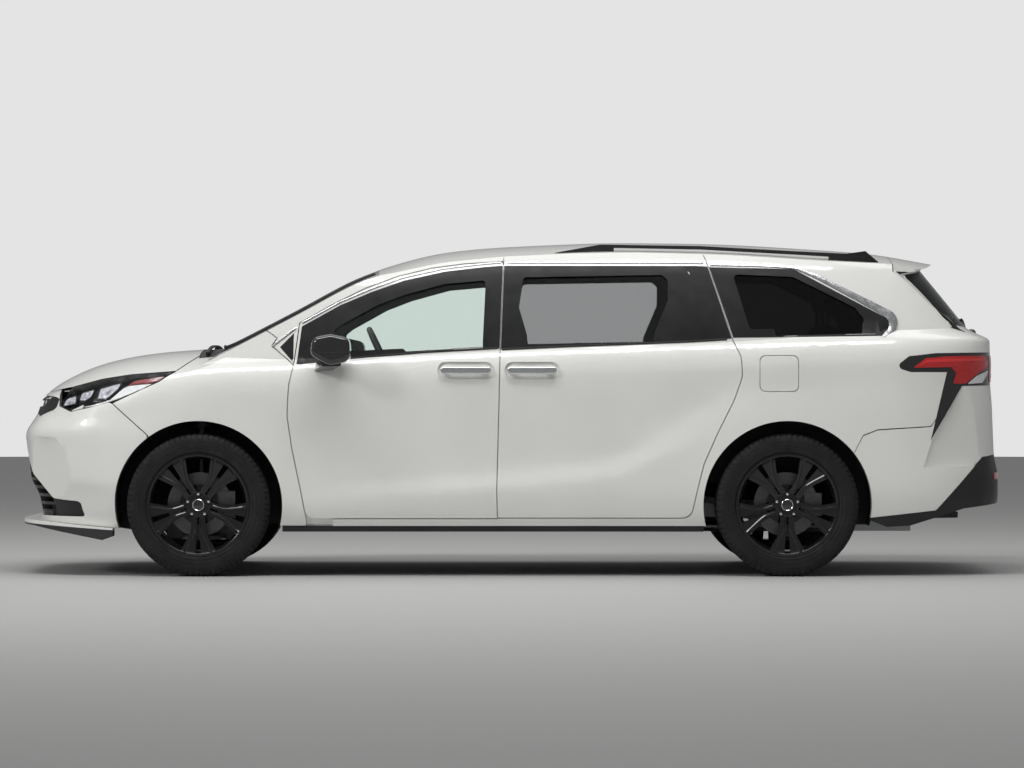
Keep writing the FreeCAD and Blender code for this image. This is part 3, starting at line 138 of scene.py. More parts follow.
def plastics():
    plain_plastic("gloss_black", (0.012, 0.012, 0.013), 0.12, 300, 0.00004, Coat_Weight=0.8)
    plain_plastic("trim_black", BLACK, 0.42, 1600, 0.0003, Specular_IOR_Level=0.35)
    plain_plastic("frame_black", BLACK, 0.38, 1200, 0.00006, Specular_IOR_Level=0.22)
    plain_plastic("arch_black", (0.012, 0.012, 0.012), 0.75, 500, 0.0006)
    plain_plastic("seal_rubber", (0.014, 0.014, 0.014), 0.6, 1400, 0.0002)
    plain_plastic("dash_plastic", (0.045, 0.045, 0.048), 0.6, 700, 0.0006)
    plain_plastic("headliner_cloth", (0.33, 0.32, 0.3), 0.95, 1500, 0.0008)
    plain_plastic("seat_leather", (0.05, 0.05, 0.052), 0.5, 380, 0.0009)


def pearl_paint():
    g = Graph("pearl_paint", (0.84, 0.84, 0.82), 0.32, Coat_Weight=1, Coat_Roughness=0.035)
    g.colours(g.noise(3, 3), [(0.3, (0.835, 0.832, 0.8)), (0.7, (0.87, 0.867, 0.838))])
    g.rough(g.cells(2600), 0.26, 0.4)
    g.bump(g.noise(420, 1), 0.05, 0.0002)


def lip_paint():
    """Paint above a sloping line and black plastic below it."""
    g = Graph("lip_paint", BLACK, 0.35, Coat_Weight=0.4)
    height = g.node("ShaderNodeMath")
    height.operation = "MULTIPLY_ADD"
    height.inputs[1].default_value = LIP_SLOPE
    g.link(g.along("X"), height.inputs[0])
    g.link(g.along("Z"), height.inputs[2])
    above = g.spread(height.outputs[0], 0, 1, LIP_EDGE - LIP_BLUR, LIP_EDGE + LIP_BLUR)
    g.colours(above, [(0, BLACK), (1, PAINT)])
    g.rough(g.noise(60, 4), 0.3, 0.42)


def metal(name, colour, roughness, scale, low, high):
    """Bare metal whose shine changes a little over its surface."""
    g = Graph(name, colour, roughness, Metallic=1)
    g.rough(g.noise(scale, 4), low, high)


def metals():
    metal("chrome", (0.82, 0.83, 0.84), 0.07, 40, 0.05, 0.12)
    metal("satin_metal", (0.35, 0.355, 0.36), 0.35, 60, 0.28, 0.42)
    metal("bright_trim", (0.62, 0.625, 0.64), 0.24, 50, 0.2, 0.3)
    metal("dark_chrome", (0.2, 0.205, 0.215), 0.2, 40, 0.16, 0.27)


def brake_iron():
    g = Graph("brake_iron", (0.14, 0.14, 0.14), 0.42, Metallic=1)
    g.rough(g.noise(90, 5), 0.28, 0.5)
    g.bump(g.noise(700, 2), 0.2, 0.0002)


def wheel_black():
    g = Graph("wheel_black", (0.007, 0.007, 0.008), 0.16, Coat_Weight=0.5, Coat_Roughness=0.04,
              Specular_IOR_Level=0.35)
    g.rough(g.noise(25, 4), 0.1, 0.2)
    g.bump(g.noise(350, 1), 0.05, 0.0002)


def tyre_rubber():
    g = Graph("tyre_rubber", (0.028, 0.028, 0.029), 0.72, Specular_IOR_Level=0.3)
    g.colours(g.noise(9, 8), [(0.3, (0.008, 0.008, 0.008)), (0.7, (0.018, 0.018, 0.0175))])
    g.rough(g.noise(30, 5), 0.6, 0.82)
    g.bump(g.noise(900, 3), 0.35, 0.0004)


def pane_glass(name, colour):
    """Thin tinted pane that hardly bends what is seen through it."""
    g = Graph(name, colour, 0.02, Transmission_Weight=1, IOR=1.05, Coat_Weight=0.5, Coat_Roughness=0.01)
    g.rough(g.noise(5, 3), 0.01, 0.035)
    return g


def panes():
    """Clear and dark glass, and the rear side windows, light in the sliding door and dark in the quarter."""
    pane_glass("clear_glass", (0.88, 0.95, 0.92))
    pane_glass("dark_glass", (0.14, 0.142, 0.145))
    g = pane_glass("side_glass", (0.45, 0.455, 0.46))
    g.colours(g.spread(g.along("X"), 0, 1, 1.02, 1.1),
              [(0, (0.58, 0.585, 0.59)), (1, (0.07, 0.071, 0.073))])


def lamp_cover():
    g = Graph("lamp_cover", (0.97, 0.98, 0.98), 0.02, Transmission_Weight=1, IOR=1.08)
    g.rough(g.noise(8, 3), 0.01, 0.03)


def lamp_unit():
    g = Graph("lamp_unit", (0.6, 0.6, 0.66), 0.2, Coat_Weight=0.6)
    g.colours(g.cells(90), [(0, (0.8, 0.8, 0.88)), (0.5, (0.5, 0.5, 0.56)), (0.9, (0.3, 0.3, 0.34))])
    g.bump(g.cells(90), 0.6, 0.003)
    g.rough(g.noise(20, 3), 0.12, 0.26)


def lamp_white():
    g = Graph("lamp_white", (0.78, 0.79, 0.8), 0.22, Coat_Weight=0.7)
    g.bump(g.cells(300), 0.3, 0.0008)
    g.rough(g.noise(30, 3), 0.16, 0.3)


def marker_red():
    g = Graph("marker_red", (0.22, 0.012, 0.02), 0.15, Coat_Weight=0.4)
    g.colours(g.cells(60), [(0, (0.24, 0.014, 0.022)), (0.8, (0.16, 0.008, 0.014))])
    g.rough(g.noise(30, 3), 0.12, 0.2)


def red_lens():
    g = Graph("red_lens", (0.62, 0.012, 0.016), 0.08, Coat_Weight=1, Coat_Roughness=0.02)
    g.colours(g.cells(160), [(0, (0.72, 0.02, 0.02)), (0.8, (0.42, 0.006, 0.01))])
    g.bump(g.cells(160), 0.25, 0.001)


def red_bar():
    g = Graph("red_bar", (0.75, 0.03, 0.03), 0.15, Coat_Weight=1)
    g.bump(g.cells(220), 0.4, 0.001)
    g.rough(g.noise(30, 3), 0.1, 0.2)


for make in (plastics, pearl_paint, lip_paint, metals, brake_iron, wheel_black, tyre_rubber, panes,
             lamp_cover, lamp_unit, lamp_white, marker_red, red_lens, red_bar):
    make()


# Looks of the pieces that come with the frame

# Nodes by material, where %s stands for left and right
NODE_MATERIALS = {
    "pearl_paint": [
        "side_panel_%s", "front_door_%s", "front_fenders", "roof_panel", "front_bumper", "rear_bumper",
        "sliding_doors", "hood", "liftgate",
    ],
    "clear_glass": ["windshield", "front_window_%s"],
    "side_glass": ["rear_side_windows"],
    "dark_glass": ["liftgate_window"],
    "trim_black": ["cowl", "roof_rails", "rear_valance", "sill_trims", "front_grille"],
    "lip_paint": ["front_lip"],
    "gloss_black": ["mirror_%s", "headlamps", "tail_lamps", "liftgate_lamps"],
    "chrome": ["front_handle_%s", "sliding_door_handles"],
    "arch_black": ["underbody"],
    "satin_metal": ["engine_block", "exhaust"],
    "brake_iron": ["front_suspension", "rear_suspension", "knuckle_%s"],
    "dash_plastic": ["dashboard", "steering_wheel"],
    "seat_leather": ["front_seats", "middle_seats", "rear_seats"],
    "wheel_black": ["rim_front_%s", "rim_rear_%s"],
    "tyre_rubber": ["tyre_front_%s", "tyre_rear_%s"],
}
SHARP_ANGLE = math.radians(28)
WELD_DISTANCE = 0.00003


def smooth(obj, angle=SHARP_ANGLE):
    obj.data.polygons.foreach_set("use_smooth", [True] * len(obj.data.polygons))
    split = obj.modifiers.new("edges", "EDGE_SPLIT")
    split.split_angle = angle
    normals = obj.modifiers.new("normals", "WEIGHTED_NORMAL")
    normals.keep_sharp = True


def dress(node, material):
    node.data.materials.clear()
    node.data.materials.append(MATERIALS[material])
    weld = node.modifiers.new("weld", "WELD")
    weld.merge_threshold = WELD_DISTANCE
    smooth(node)


def dress_nodes():
    for material, names in NODE_MATERIALS.items():
        for name in names:
            for full_name in sorted({name.replace("%s", side_name) for _, side_name in SIDES}):
                dress(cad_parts[full_name], material)


# Meshes and pieces

# Corners of outlines: steps of their arc, and the largest share of a side that they take
CORNER_STEPS, CORNER_SHARE = 6, 0.46
# Patches: free distance along their edges, in steps, and the distance at which points are one
EDGE_CLEARANCE, SAME_POINT = 0.45, 1e-7
# Mouldings: steps and power of their round top, depth of their feet, and the height of a ribbon's edges
ROUND_STEPS, ROUND_POWER = 6, 0.7
FOOT, RIBBON_FOOT = 0.002, 0.003
RIBBON_EDGE = 0.35
# Rounds in which lines, strips and ribbons are evened out
LINE_ROUNDS, STRIP_ROUNDS, RIBBON_ROUNDS = 3, 4, 60
SEAM_DEPTH = 0.07


def new_mesh(name, verts, faces, material):
    mesh = bpy.data.meshes.new(name)
    mesh.from_pydata([tuple(v) for v in verts], [], faces)
    mesh.validate()
    mesh.materials.append(MATERIALS[material])
    return mesh


def grid_faces(rows, columns, round_rows=False, round_columns=True, flip=False):
    """Four-sided faces between the points of a grid, closed round its rows or columns where that is asked."""
    faces = []
    for i in range(rows if round_rows else rows - 1):
        j = (i + 1) % rows
        for k in range(columns if round_columns else columns - 1):
            m = (k + 1) % columns
            a, b, c, d = i * columns + k, j * columns + k, j * columns + m, i * columns + m
            faces.append((a, d, c, b) if flip else (a, b, c, d))
    return faces


def placed(name, mesh, body, matrix=Matrix(), angle=SHARP_ANGLE):
    """New piece from a mesh, that rides on a body."""
    obj = bpy.data.objects.new(name, mesh)
    scene.collection.objects.link(obj)
    obj.matrix_world = matrix
    smooth(obj, angle)
    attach(obj, body)
    return obj


def made(name, verts, faces, material, body="body"):
    """New piece from vertices and faces in metres."""
    return placed(name, new_mesh(name, verts, faces, material), body)


def tree_of(*nodes):
    """Ray-cast tree over CAD nodes at rest."""
    verts, faces = [], []
    for name in nodes:
        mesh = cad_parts[name].data
        base = len(verts)
        verts += [v.co.copy() for v in mesh.vertices]
        faces += [tuple(base + i for i in p.vertices) for p in mesh.polygons]
    return BVHTree.FromPolygons(verts, faces)


# Where the projectors below look from, and the places near the skin that they take where a ray misses
OUT_X, SKIN_X = 4, 2.4
OUT_Y, SKIN_Y, WALL_Y = 2, 0.93, 0.85
OUT_Z, SKIN_Z, ROOF_Z = 3, 1.4, 1.65
NEAR_SIDE_Y = -0.02


def meet(tree, start, direction, near):
    """Skin point that a ray meets, or else that nearest to a place, with its normal facing the ray."""
    direction = Vector(direction)
    hit, normal, _, _ = tree.ray_cast(Vector(start), direction)
    if hit is None:
        hit, normal, _, _ = tree.find_nearest(Vector(near))
    if normal.dot(direction) > 0:
        normal = -normal
    return hit, normal


def from_side(tree, side):
    return lambda x, z: meet(tree, (x, side * OUT_Y, z), (0, -side, 0), (x, side * SKIN_Y, z))


def from_inside(tree, side):
    return lambda x, z: meet(tree, (x, 0, z), (0, side, 0), (x, side * WALL_Y, z))


def from_front(tree):
    return lambda y, z: meet(tree, (-OUT_X, y, z), (1, 0, 0), (-SKIN_X, y, z))


def from_behind(tree, side=RIGHT):
    """For points of the right side, which go to either side."""
    return lambda y, z: meet(tree, (OUT_X, side * y, z), (-1, 0, 0), (SKIN_X, side * y, z))


def from_above(tree):
    return lambda x, y: meet(tree, (x, y, OUT_Z), (0, 0, -1), (x, y, SKIN_Z))


def from_below(tree, start):
    return lambda x, y: meet(tree, (x, y, start), (0, 0, 1), (x, y, ROOF_Z))


def from_camera(tree, plane_y, side):
    """For points of a side plane, which go to the skin that the camera shows there, on either side."""
    mirror = Vector((1, -side, 1))

    def project(x, z):
        target = Vector((x, plane_y, z))
        sight = target - EYE
        hit, normal, _, _ = tree.ray_cast(EYE, sight.normalized())
        if hit is None or hit.y > NEAR_SIDE_Y:
            hit, normal, _, _ = tree.find_nearest(target)
        if normal.dot(sight) > 0:
            normal = -normal
        return hit * mirror, normal * mirror
    return project


def millimetres(points):
    """Points or radii given in millimetres, in metres."""
    return [tuple(v / 1000 for v in p) for p in points]


def both_halves(half):
    """Closed (x, y) outline from its half on one side of the middle."""
    return half + [(p[0], -p[1]) + tuple(p[2:]) for p in reversed(half[1:-1])]


def to_side(points, side):
    """(y, z) outline of the right side, mirrored for the left."""
    return [(side * p[0],) + p[1:] for p in points]


def evenly(start, step, count):
    """Points at equal steps along a straight 2-D line."""
    return [Vector((start[0] + step[0] * k, start[1] + step[1] * k)) for k in range(count)]


def rounded(points, closed=True, step=0.012):
    """Evenly sampled 2-D line through (a, b) or (a, b, radius) points."""
    out = []
    count = len(points)
    for i, point in enumerate(points):
        here = Vector(point[:2])
        radius = point[2] if len(point) > 2 else 0
        if radius and (closed or 0 < i < count - 1):
            before = Vector(points[i - 1][:2]) - here
            after = Vector(points[(i + 1) % count][:2]) - here
            longest = CORNER_SHARE * min(before.length, after.length)
            cut = min(radius / math.tan(before.angle(after) / 2), longest)
            start, end = here + before.normalized() * cut, here + after.normalized() * cut
            for k in range(CORNER_STEPS + 1):
                t = k / CORNER_STEPS
                out.append(start * (1 - t) ** 2 + here * 2 * t * (1 - t) + end * t * t)
        else:
            out.append(here)
    line = out + [out[0]] if closed else out
    dense = []
    for a, b in zip(line, line[1:]):
        parts = max(1, math.ceil((b - a).length / step))
        dense += [a.lerp(b, k / parts) for k in range(parts)]
    if not closed:
        dense.append(line[-1])
    return dense


def area(points):
    """Closed outline of a piece, given in millimetres."""
    return rounded(millimetres(points))


def inset(path, by):
    """Closed clockwise path moved inwards."""
    moved = []
    for k, (x, z) in enumerate(path):
        before, after = path[k - 1], path[(k + 1) % len(path)]
        dx, dz = after[0] - before[0], after[1] - before[1]
        length = math.hypot(dx, dz)
        moved.append((x + dz / length * by, z - dx / length * by))
    return moved


def inside(point, outline):
    x, y = point
    odd = False
    j = len(outline) - 1
    for i in range(len(outline)):
        a, b = outline[i], outline[j]
        if (a[1] > y) != (b[1] > y) and x < (b[0] - a[0]) * (y - a[1]) / (b[1] - a[1]) + a[0]:
            odd = not odd
        j = i
    return odd


def flat_patch(outline, holes=(), step=0.02):
    """Triangles over a 2-D outline with holes, and its boundary loops as index lists."""
    points, edges, loops = [], [], []
    for loop in [outline, *holes]:
        base = len(points)
        points += [Vector(p[:2]) for p in loop]
        edges += [(base + i, base + (i + 1) % len(loop)) for i in range(len(loop))]
        loops.append(list(range(base, base + len(loop))))
    low = [min(p[k] for p in outline) for k in (0, 1)]
    high = [max(p[k] for p in outline) for k in (0, 1)]
    rim = [p.copy() for p in points]
    columns = int((high[0] - low[0]) / step) + 1
    rows = int((high[1] - low[1]) / step) + 1
    near = (step * EDGE_CLEARANCE) ** 2
    for i in range(columns):
        for j in range(rows):
            p = Vector((low[0] + (i + 0.5) * step, low[1] + (j + 0.5) * step))
            if not inside(p, outline) or any(inside(p, hole) for hole in holes):
                continue
            if min((q - p).length_squared for q in rim) > near:
                points.append(p)
    verts, _, faces, origin, _, _ = delaunay_2d_cdt(points, edges, [], 0, SAME_POINT)
    kept = []
    for face in faces:
        centre = sum((verts[i] for i in face), Vector((0, 0))) / len(face)
        if inside(centre, outline) and not any(inside(centre, hole) for hole in holes):
            kept.append(tuple(face))
    back = {}
    for new, olds in enumerate(origin):
        for old in olds:
            back[old] = new
    return verts, kept, [[back[i] for i in loop] for loop in loops]


def skin_patch(name, outline, project, material, lift, thickness, body="body", holes=(), step=0.02,
               tray=False):
    """Plate that follows the skin over an outline, or an open tray of that depth."""
    verts, faces, loops = flat_patch(outline, holes, step)
    hits = [project(p[0], p[1]) for p in verts]
    top = [h + n * lift for h, n in hits]
    low = [h + n * (lift - thickness) for h, n in hits]
    count = len(verts)
    a, b, c = faces[0][:3]
    if (top[b] - top[a]).cross(top[c] - top[a]).dot(hits[a][1]) <= 0:
        faces = [tuple(reversed(f)) for f in faces]
    if tray:
        all_faces = [tuple(count + i for i in f) for f in faces]
    else:
        all_faces = faces + [tuple(count + i for i in reversed(f)) for f in faces]
    for loop in loops:
        for here, after in zip(loop, loop[1:] + loop[:1]):
            all_faces.append((here, after, count + after, count + here))
    return made(name, top + low, all_faces, material, body)


def averaged(points, rounds):
    """Points of a line eased towards their neighbours, a number of times. The ends stay."""
    for _ in range(rounds):
        middle = [(a + b * 2 + c) / 4 for a, b, c in zip(points, points[1:], points[2:])]
        points = points[:1] + middle + points[-1:]
    return points


def eased(hits, rounds, axis=None):
    """Skin points and normals along a line, evened out in all axes or in one."""
    places = averaged([h for h, _ in hits], rounds)
    normals = averaged([n for _, n in hits], rounds)
    if axis is not None:
        places = [Vector([p[k] if k == axis else h[k] for k in range(3)]) for p, (h, _) in zip(places, hits)]
    return [(p, n.normalized()) for p, n in zip(places, normals)]


def strip(name, line, project, profile, material, body="body"):
    """Moulding that follows the skin along an open 2-D line, with a profile of (across, out) offsets."""
    hits = eased([project(p[0], p[1]) for p in line], STRIP_ROUNDS)
    count = len(line)
    verts = []
    for i, (hit, normal) in enumerate(hits):
        before, after = hits[max(i - 1, 0)][0], hits[min(i + 1, count - 1)][0]
        across = normal.cross((after - before).normalized()).normalized()
        verts += [hit + across * a + normal * o for a, o in profile]
    n = len(profile)
    faces = grid_faces(count, n)
    faces.append(tuple(range(n - 1, -1, -1)))
    faces.append(tuple((count - 1) * n + k for k in range(n)))
    return made(name, verts, faces, material, body)


def along(line, count):
    """Points at equal distances along a 2-D line, with its corners eased."""
    points = [Vector(p[:2]) for p in line]
    lengths = [(b - a).length for a, b in zip(points, points[1:])]
    total = sum(lengths)
    out = []
    for k in range(count + 1):
        left = total * k / count
        for a, b, length in zip(points, points[1:], lengths):
            if left <= length or (a, b) == (points[-2], points[-1]):
                out.append(a.lerp(b, min(1, left / length)))
                break
            left -= length
    return averaged(out, LINE_ROUNDS)


def ribbon(name, first, second, project, height, material, body="body", count=120, across=6):
    """Rounded moulding between two 2-D lines on the skin, standing out by a height."""
    lines = (along(first, count), along(second, count))
    arc = [math.pi * k / across for k in range(across + 1)]
    shares = [0] + [0.5 - 0.5 * math.cos(turn) for turn in arc] + [1]
    rise = [height * (RIBBON_EDGE + (1 - RIBBON_EDGE) * math.sin(turn)) for turn in arc]
    lifts = [-RIBBON_FOOT] + rise + [-RIBBON_FOOT]
    verts, columns = [], []
    for share in shares:
        points = [a.lerp(b, share) for a, b in zip(*lines)]
        columns.append(eased([project(p.x, p.y) for p in points], RIBBON_ROUNDS, axis=1))
    for i in range(count + 1):
        verts += [column[i][0] + column[i][1] * lift for column, lift in zip(columns, lifts)]
    faces = grid_faces(count + 1, len(shares), round_columns=False)
    return made(name, verts, faces, material, body)


def half_round(width, height):
    """Profile of a rounded moulding whose foot goes a little below the skin."""
    points = [(-width / 2, -FOOT)]
    for k in range(ROUND_STEPS + 1):
        t = math.pi * k / ROUND_STEPS
        points.append((-width / 2 * math.cos(t), height * math.sin(t) ** ROUND_POWER))
    points.append((width / 2, -FOOT))
    return points


def ring_mesh(name, profile, material, count=96):
    """Profile of (y, radius) points turned about the y axis."""
    verts = []
    for i in range(count):
        angle = 2 * math.pi * i / count
        verts += [(r * math.sin(angle), y, r * math.cos(angle)) for y, r in profile]
    return new_mesh(name, verts, grid_faces(count, len(profile), round_rows=True, flip=True), material)


def pad_verts(centre, size, power, count, seams=()):
    """Closed puffed form with sewn channels pressed in. A seam is (axis, place, width) in half sizes."""
    verts = []

    def part(value):
        return math.copysign(abs(value) ** (2 / power), value)

    for i in range(count + 1):
        phi = -math.pi / 2 + math.pi * i / count
        for j in range(2 * count):
            theta = math.pi * j / count
            a = part(math.cos(phi)) * part(math.cos(theta))
            b = part(math.cos(phi)) * part(math.sin(theta))
            c = part(math.sin(phi))
            pinch = 1
            for axis, place, width in seams:
                pinch -= SEAM_DEPTH * math.exp(-(((a, b, c)[axis] - place) / width) ** 2)
            verts.append(Vector((
                a * size[0] / 2 * pinch, b * size[1] / 2 * (0.5 + pinch / 2), c * size[2] / 2 * pinch)))
    return [Vector(centre) + v for v in verts], grid_faces(count + 1, 2 * count, flip=True)


def turned(verts, centre, angle):
    turn = Matrix.Rotation(angle, 3, "Y")
    return [Vector(centre) + turn @ (v - Vector(centre)) for v in verts]


def joined(parts):
    verts, faces = [], []
    for v, f in parts:
        base = len(verts)
        verts += v
        faces += [tuple(base + i for i in face) for face in f]
    return verts, faces


# Window surrounds, as (x, z) outlines for either side

DOOR_BLACK = area([
    (-1108, 1103), (-1083, 1300, 10), (-885, 1411), (-720, 1481), (-550, 1541), (-337, 1588), (-124, 1613),
    (-35.5, 1619), (-52, 1186), (-134, 1181), (-442, 1165), (-824, 1133)])
DOOR_GLASS = area([
    (-920, 1271, 20), (-879, 1303), (-687, 1409), (-549, 1462), (-337, 1520), (-124, 1539, 20),
    (-140, 1197, 10), (-613, 1180), (-825, 1170, 10), (-900, 1200, 20)])
SLIDE_BLACK = area([
    (-28, 1619), (966, 1617), (1034.5, 1613), (1155, 1236), (925, 1221), (299, 1197), (-44.8, 1182)])
QUARTER_BLACK = area([
    (1043.5, 1610), (1483, 1600), (1970, 1341, 30), (1979, 1297, 20), (1936, 1250, 20), (1163.5, 1240)])
SAIL_BLACK = area([(-1196, 1192), (-1093, 1296), (-1119, 1105)])
SLIDE_SEEN = area([
    (72, 1555, 25), (795, 1567, 20), (826, 1541, 20), (826, 1436), (745, 1242, 12), (100, 1224, 12),
    (48, 1401)])
QUARTER_SEEN = area([
    (1165, 1570, 25), (1480, 1556, 40), (1800, 1395, 30), (1850, 1330, 25), (1820, 1290, 20),
    (1250, 1283, 25)])
QUARTER_CHROME_OUT = millimetres([
    (1046, 1634), (1300, 1629), (1492, 1618), (1623, 1566), (1998, 1378), (2018, 1350), (2025, 1322),
    (2013, 1287), (1985, 1262), (1950, 1242)])
QUARTER_CHROME_IN = millimetres([
    (1050, 1616), (1300, 1611), (1486, 1600), (1600, 1548), (1966, 1345), (1978, 1322), (1980, 1298),
    (1970, 1278), (1955, 1262), (1930, 1248)])
PANE_SINK = 0.0075
SAIL_CHROME = millimetres([(-1238, 1194), (-1092, 1309)])
DOOR_CHROME = millimetres([
    (-1081, 1318), (-885, 1427), (-720, 1498), (-550, 1558), (-337, 1605), (-124, 1630), (-46, 1636)])
SLIDE_CHROME = millimetres([(-38, 1635), (966, 1634), (1034, 1629)])
DOOR_SEAL = millimetres([(-1096, 1106), (-824, 1134), (-442, 1166), (-60, 1187)])
SLIDE_SEAL = millimetres([(-40, 1180), (299, 1196), (925, 1220), (1130, 1232)])
MISS = 0.001


def over_panes(skin, panes, side):
    """Projector onto a skin, carried over the window panes at the height of their frames."""

    def project(x, z):
        hit, normal = skin(x, z)
        pane, pane_normal = panes(x, z)
        if abs(pane.x - x) < MISS and abs(pane.z - z) < MISS:
            raised = pane + pane_normal * PANE_SINK
            if abs(hit.x - x) > MISS or raised.y * side > hit.y * side:
                return raised, pane_normal
        return hit, normal
    return project


def surrounds():
    """Black frames, bright mouldings and seals of the side windows."""
    for side, name in SIDES:
        door = "front_door_" + name
        panes = from_side(tree_of("front_window_" + name, "rear_side_windows"), side)
        body_tree = tree_of("sliding_doors", "side_panel_" + name, "front_fenders")
        on_door = over_panes(from_side(tree_of(door), side), panes, side)
        on_body = over_panes(from_side(body_tree, side), panes, side)
        for piece, outline, holes, project, body in (
                ("door_frame_", DOOR_BLACK, [DOOR_GLASS], on_door, door),
                ("slide_frame_", SLIDE_BLACK, [SLIDE_SEEN], on_body, "body"),
                ("quarter_frame_", QUARTER_BLACK, [QUARTER_SEEN], on_body, "body"),
                ("sail_", SAIL_BLACK, [], on_body, "body")):
            skin_patch(piece + name, outline, project, "frame_black", lift=0.0012, thickness=0.004, body=body,
                       holes=holes)
        ribbon("quarter_chrome_" + name, QUARTER_CHROME_OUT, QUARTER_CHROME_IN, on_body, height=0.003,
               material="bright_trim")
        chrome, seal = half_round(width=0.013, height=0.005), half_round(width=0.011, height=0.0035)
        for piece, line, project, profile, material, body in (
                ("sail_chrome_", SAIL_CHROME, on_body, chrome, "bright_trim", "body"),
                ("door_chrome_", DOOR_CHROME, on_door, chrome, "bright_trim", door),
                ("slide_chrome_", SLIDE_CHROME, on_body, chrome, "bright_trim", "body"),
                ("door_seal_", DOOR_SEAL, on_door, seal, "seal_rubber", door),
                ("slide_seal_", SLIDE_SEAL, on_body, seal, "seal_rubber", "body")):
            strip(piece + name, rounded(line, closed=False), project, profile, material, body)


# Cabin lining and the hood's liner

DOOR_CARD = area([
    (-1080, 1085), (-1085, 970), (-1095, 840), (-1075, 680), (-1030, 470), (-1000, 340), (-95, 340),
    (-92, 460), (-80, 920), (-76, 1176), (-120, 1180), (-817, 1142), (-1052, 1118)])
ARMREST = area([(-760, 900, 20), (-300, 920, 20), (-260, 960, 20), (-300, 985, 20), (-760, 960, 20)])
WALL_TRIM = area([
    (60, 330), (930, 330), (960, 460), (1020, 620), (1100, 780), (1180, 840), (1700, 840), (1720, 420),
    (2130, 420), (2150, 700), (2120, 1060), (2060, 1250), (1840, 1255), (1180, 1230), (1040, 1215),
    (60, 1192)])
PILLAR_TRIM = area([
    (-10, 1180), (24, 1200), (30, 1610), (950, 1604), (1046, 1240), (1168, 1240), (1068, 1605), (1468, 1588),
    (1944, 1362), (1980, 1305), (1925, 1258), (2040, 1258), (2080, 1500), (2040, 1620), (1900, 1650),
    (60, 1660), (-6, 1650), (-30, 1610)])
HEADLINER = millimetres([
    (-655, -600), (-655, 600), (200, 665), (900, 660), (1600, 655), (1980, 630), (1980, -630), (1600, -655),
    (900, -660), (200, -665)])
HOOD_HALF = millimetres([
    (-2400, 0), (-2390, 350), (-2340, 500), (-2290, 610), (-2190, 690), (-2040, 755), (-1840, 805),
    (-1750, 820, 20), (-1700, 700), (-1655, 550), (-1630, 300), (-1620, 0)])
LINING = {"lift": 0.004, "thickness": 0.004}


def lining():
    """Door cards with their armrests, wall and pillar trims, the headliner and the hood's liner."""
    for side, name in SIDES:
        door = "front_door_" + name
        in_door = from_inside(tree_of(door), side)
        in_wall = from_inside(tree_of("sliding_doors", "side_panel_" + name), side)
        skin_patch("door_card_" + name, DOOR_CARD, in_door, "dash_plastic", body=door, step=0.04, **LINING)
        skin_patch("door_armrest_" + name, ARMREST, in_door, "seat_leather", lift=0.055, thickness=0.052,
                   body=door, step=0.03)
        skin_patch("side_trim_" + name, WALL_TRIM, in_wall, "dash_plastic", step=0.05, **LINING)
        skin_patch("pillar_trim_" + name, PILLAR_TRIM, in_wall, "dash_plastic", step=0.04, **LINING)
    under_roof = from_below(tree_of("roof_panel"), start=1.35)
    skin_patch("headliner", rounded(HEADLINER, step=0.05), under_roof, "headliner_cloth", step=0.08, **LINING)
    under_hood = from_below(tree_of("hood"), start=0.5)
    hood = rounded(both_halves(HOOD_HALF), step=0.05)
    skin_patch("hood_liner", hood, under_hood, "arch_black", body="hood", step=0.05, **LINING)


# Lamps

LAMP_OUTLINE = area([
    (-2357, 885), (-2295, 983), (-2127, 1026), (-1973, 1049), (-1747, 1064), (-1820, 1014), (-1973, 945),
    (-2088, 906), (-2203, 876), (-2292, 857)])
LAMP_UNITS = [
    millimetres([(-2352, 882, 8), (-2330, 922, 10), (-2262, 948, 12), (-2268, 898, 10)]),
    millimetres([(-2256, 914, 10), (-2242, 958, 10), (-2158, 982, 14), (-2186, 932, 14), (-2220, 912, 8)]),
    millimetres([(-2160, 922, 10), (-2142, 983, 12), (-2014, 1016, 14), (-2036, 976, 14), (-2104, 920, 10)]),
]
LAMP_BLADE = area([
    (-2228, 879, 2), (-2170, 890), (-2081, 914), (-2010, 975), (-1980, 989), (-1855, 1001, 3), (-1935, 963),
    (-2073, 910), (-2190, 881)])
LAMP_MARKER = area([
    (-1984, 994, 3), (-1946, 1017, 4), (-1785, 1040, 5), (-1824, 1016, 4), (-1905, 1001, 3)])
LAMP_FIN = area([(-2296, 861, 2), (-2242, 884, 3), (-2226, 893, 3), (-2232, 882), (-2268, 862, 2)])
LAMP_EDGE = 0.0015
COVER_EDGE = 0.004
BEZEL_SHARE = 0.86
LENS_SIZE = (0.036, 0.022, 0.036)
LENS_SINK = 0.012


def headlamp_units(name, on_lamp):
    """Three reflector units with their bezels and round lenses."""
    for k, unit in enumerate(LAMP_UNITS):
        end = "%d_%s" % (k + 1, name)
        centre = [sum(p[a] for p in unit) / len(unit) for a in (0, 1)]
        rim = rounded(unit)
        hole = [tuple(c + (v - c) * BEZEL_SHARE for c, v in zip(centre, p)) for p in rim]
        skin_patch("headlamp_bezel_" + end, rim, on_lamp, "trim_black", lift=-0.006, thickness=0.012,
                   holes=[hole], step=0.01)
        skin_patch("headlamp_unit_" + end, hole, on_lamp, "lamp_unit", lift=-0.01, thickness=0.01, step=0.01)
        hit, normal = on_lamp(*centre)
        verts, faces = pad_verts(hit - normal * LENS_SINK, LENS_SIZE, 2, 12)
        made("headlamp_lens_" + end, verts, faces, "lamp_unit")


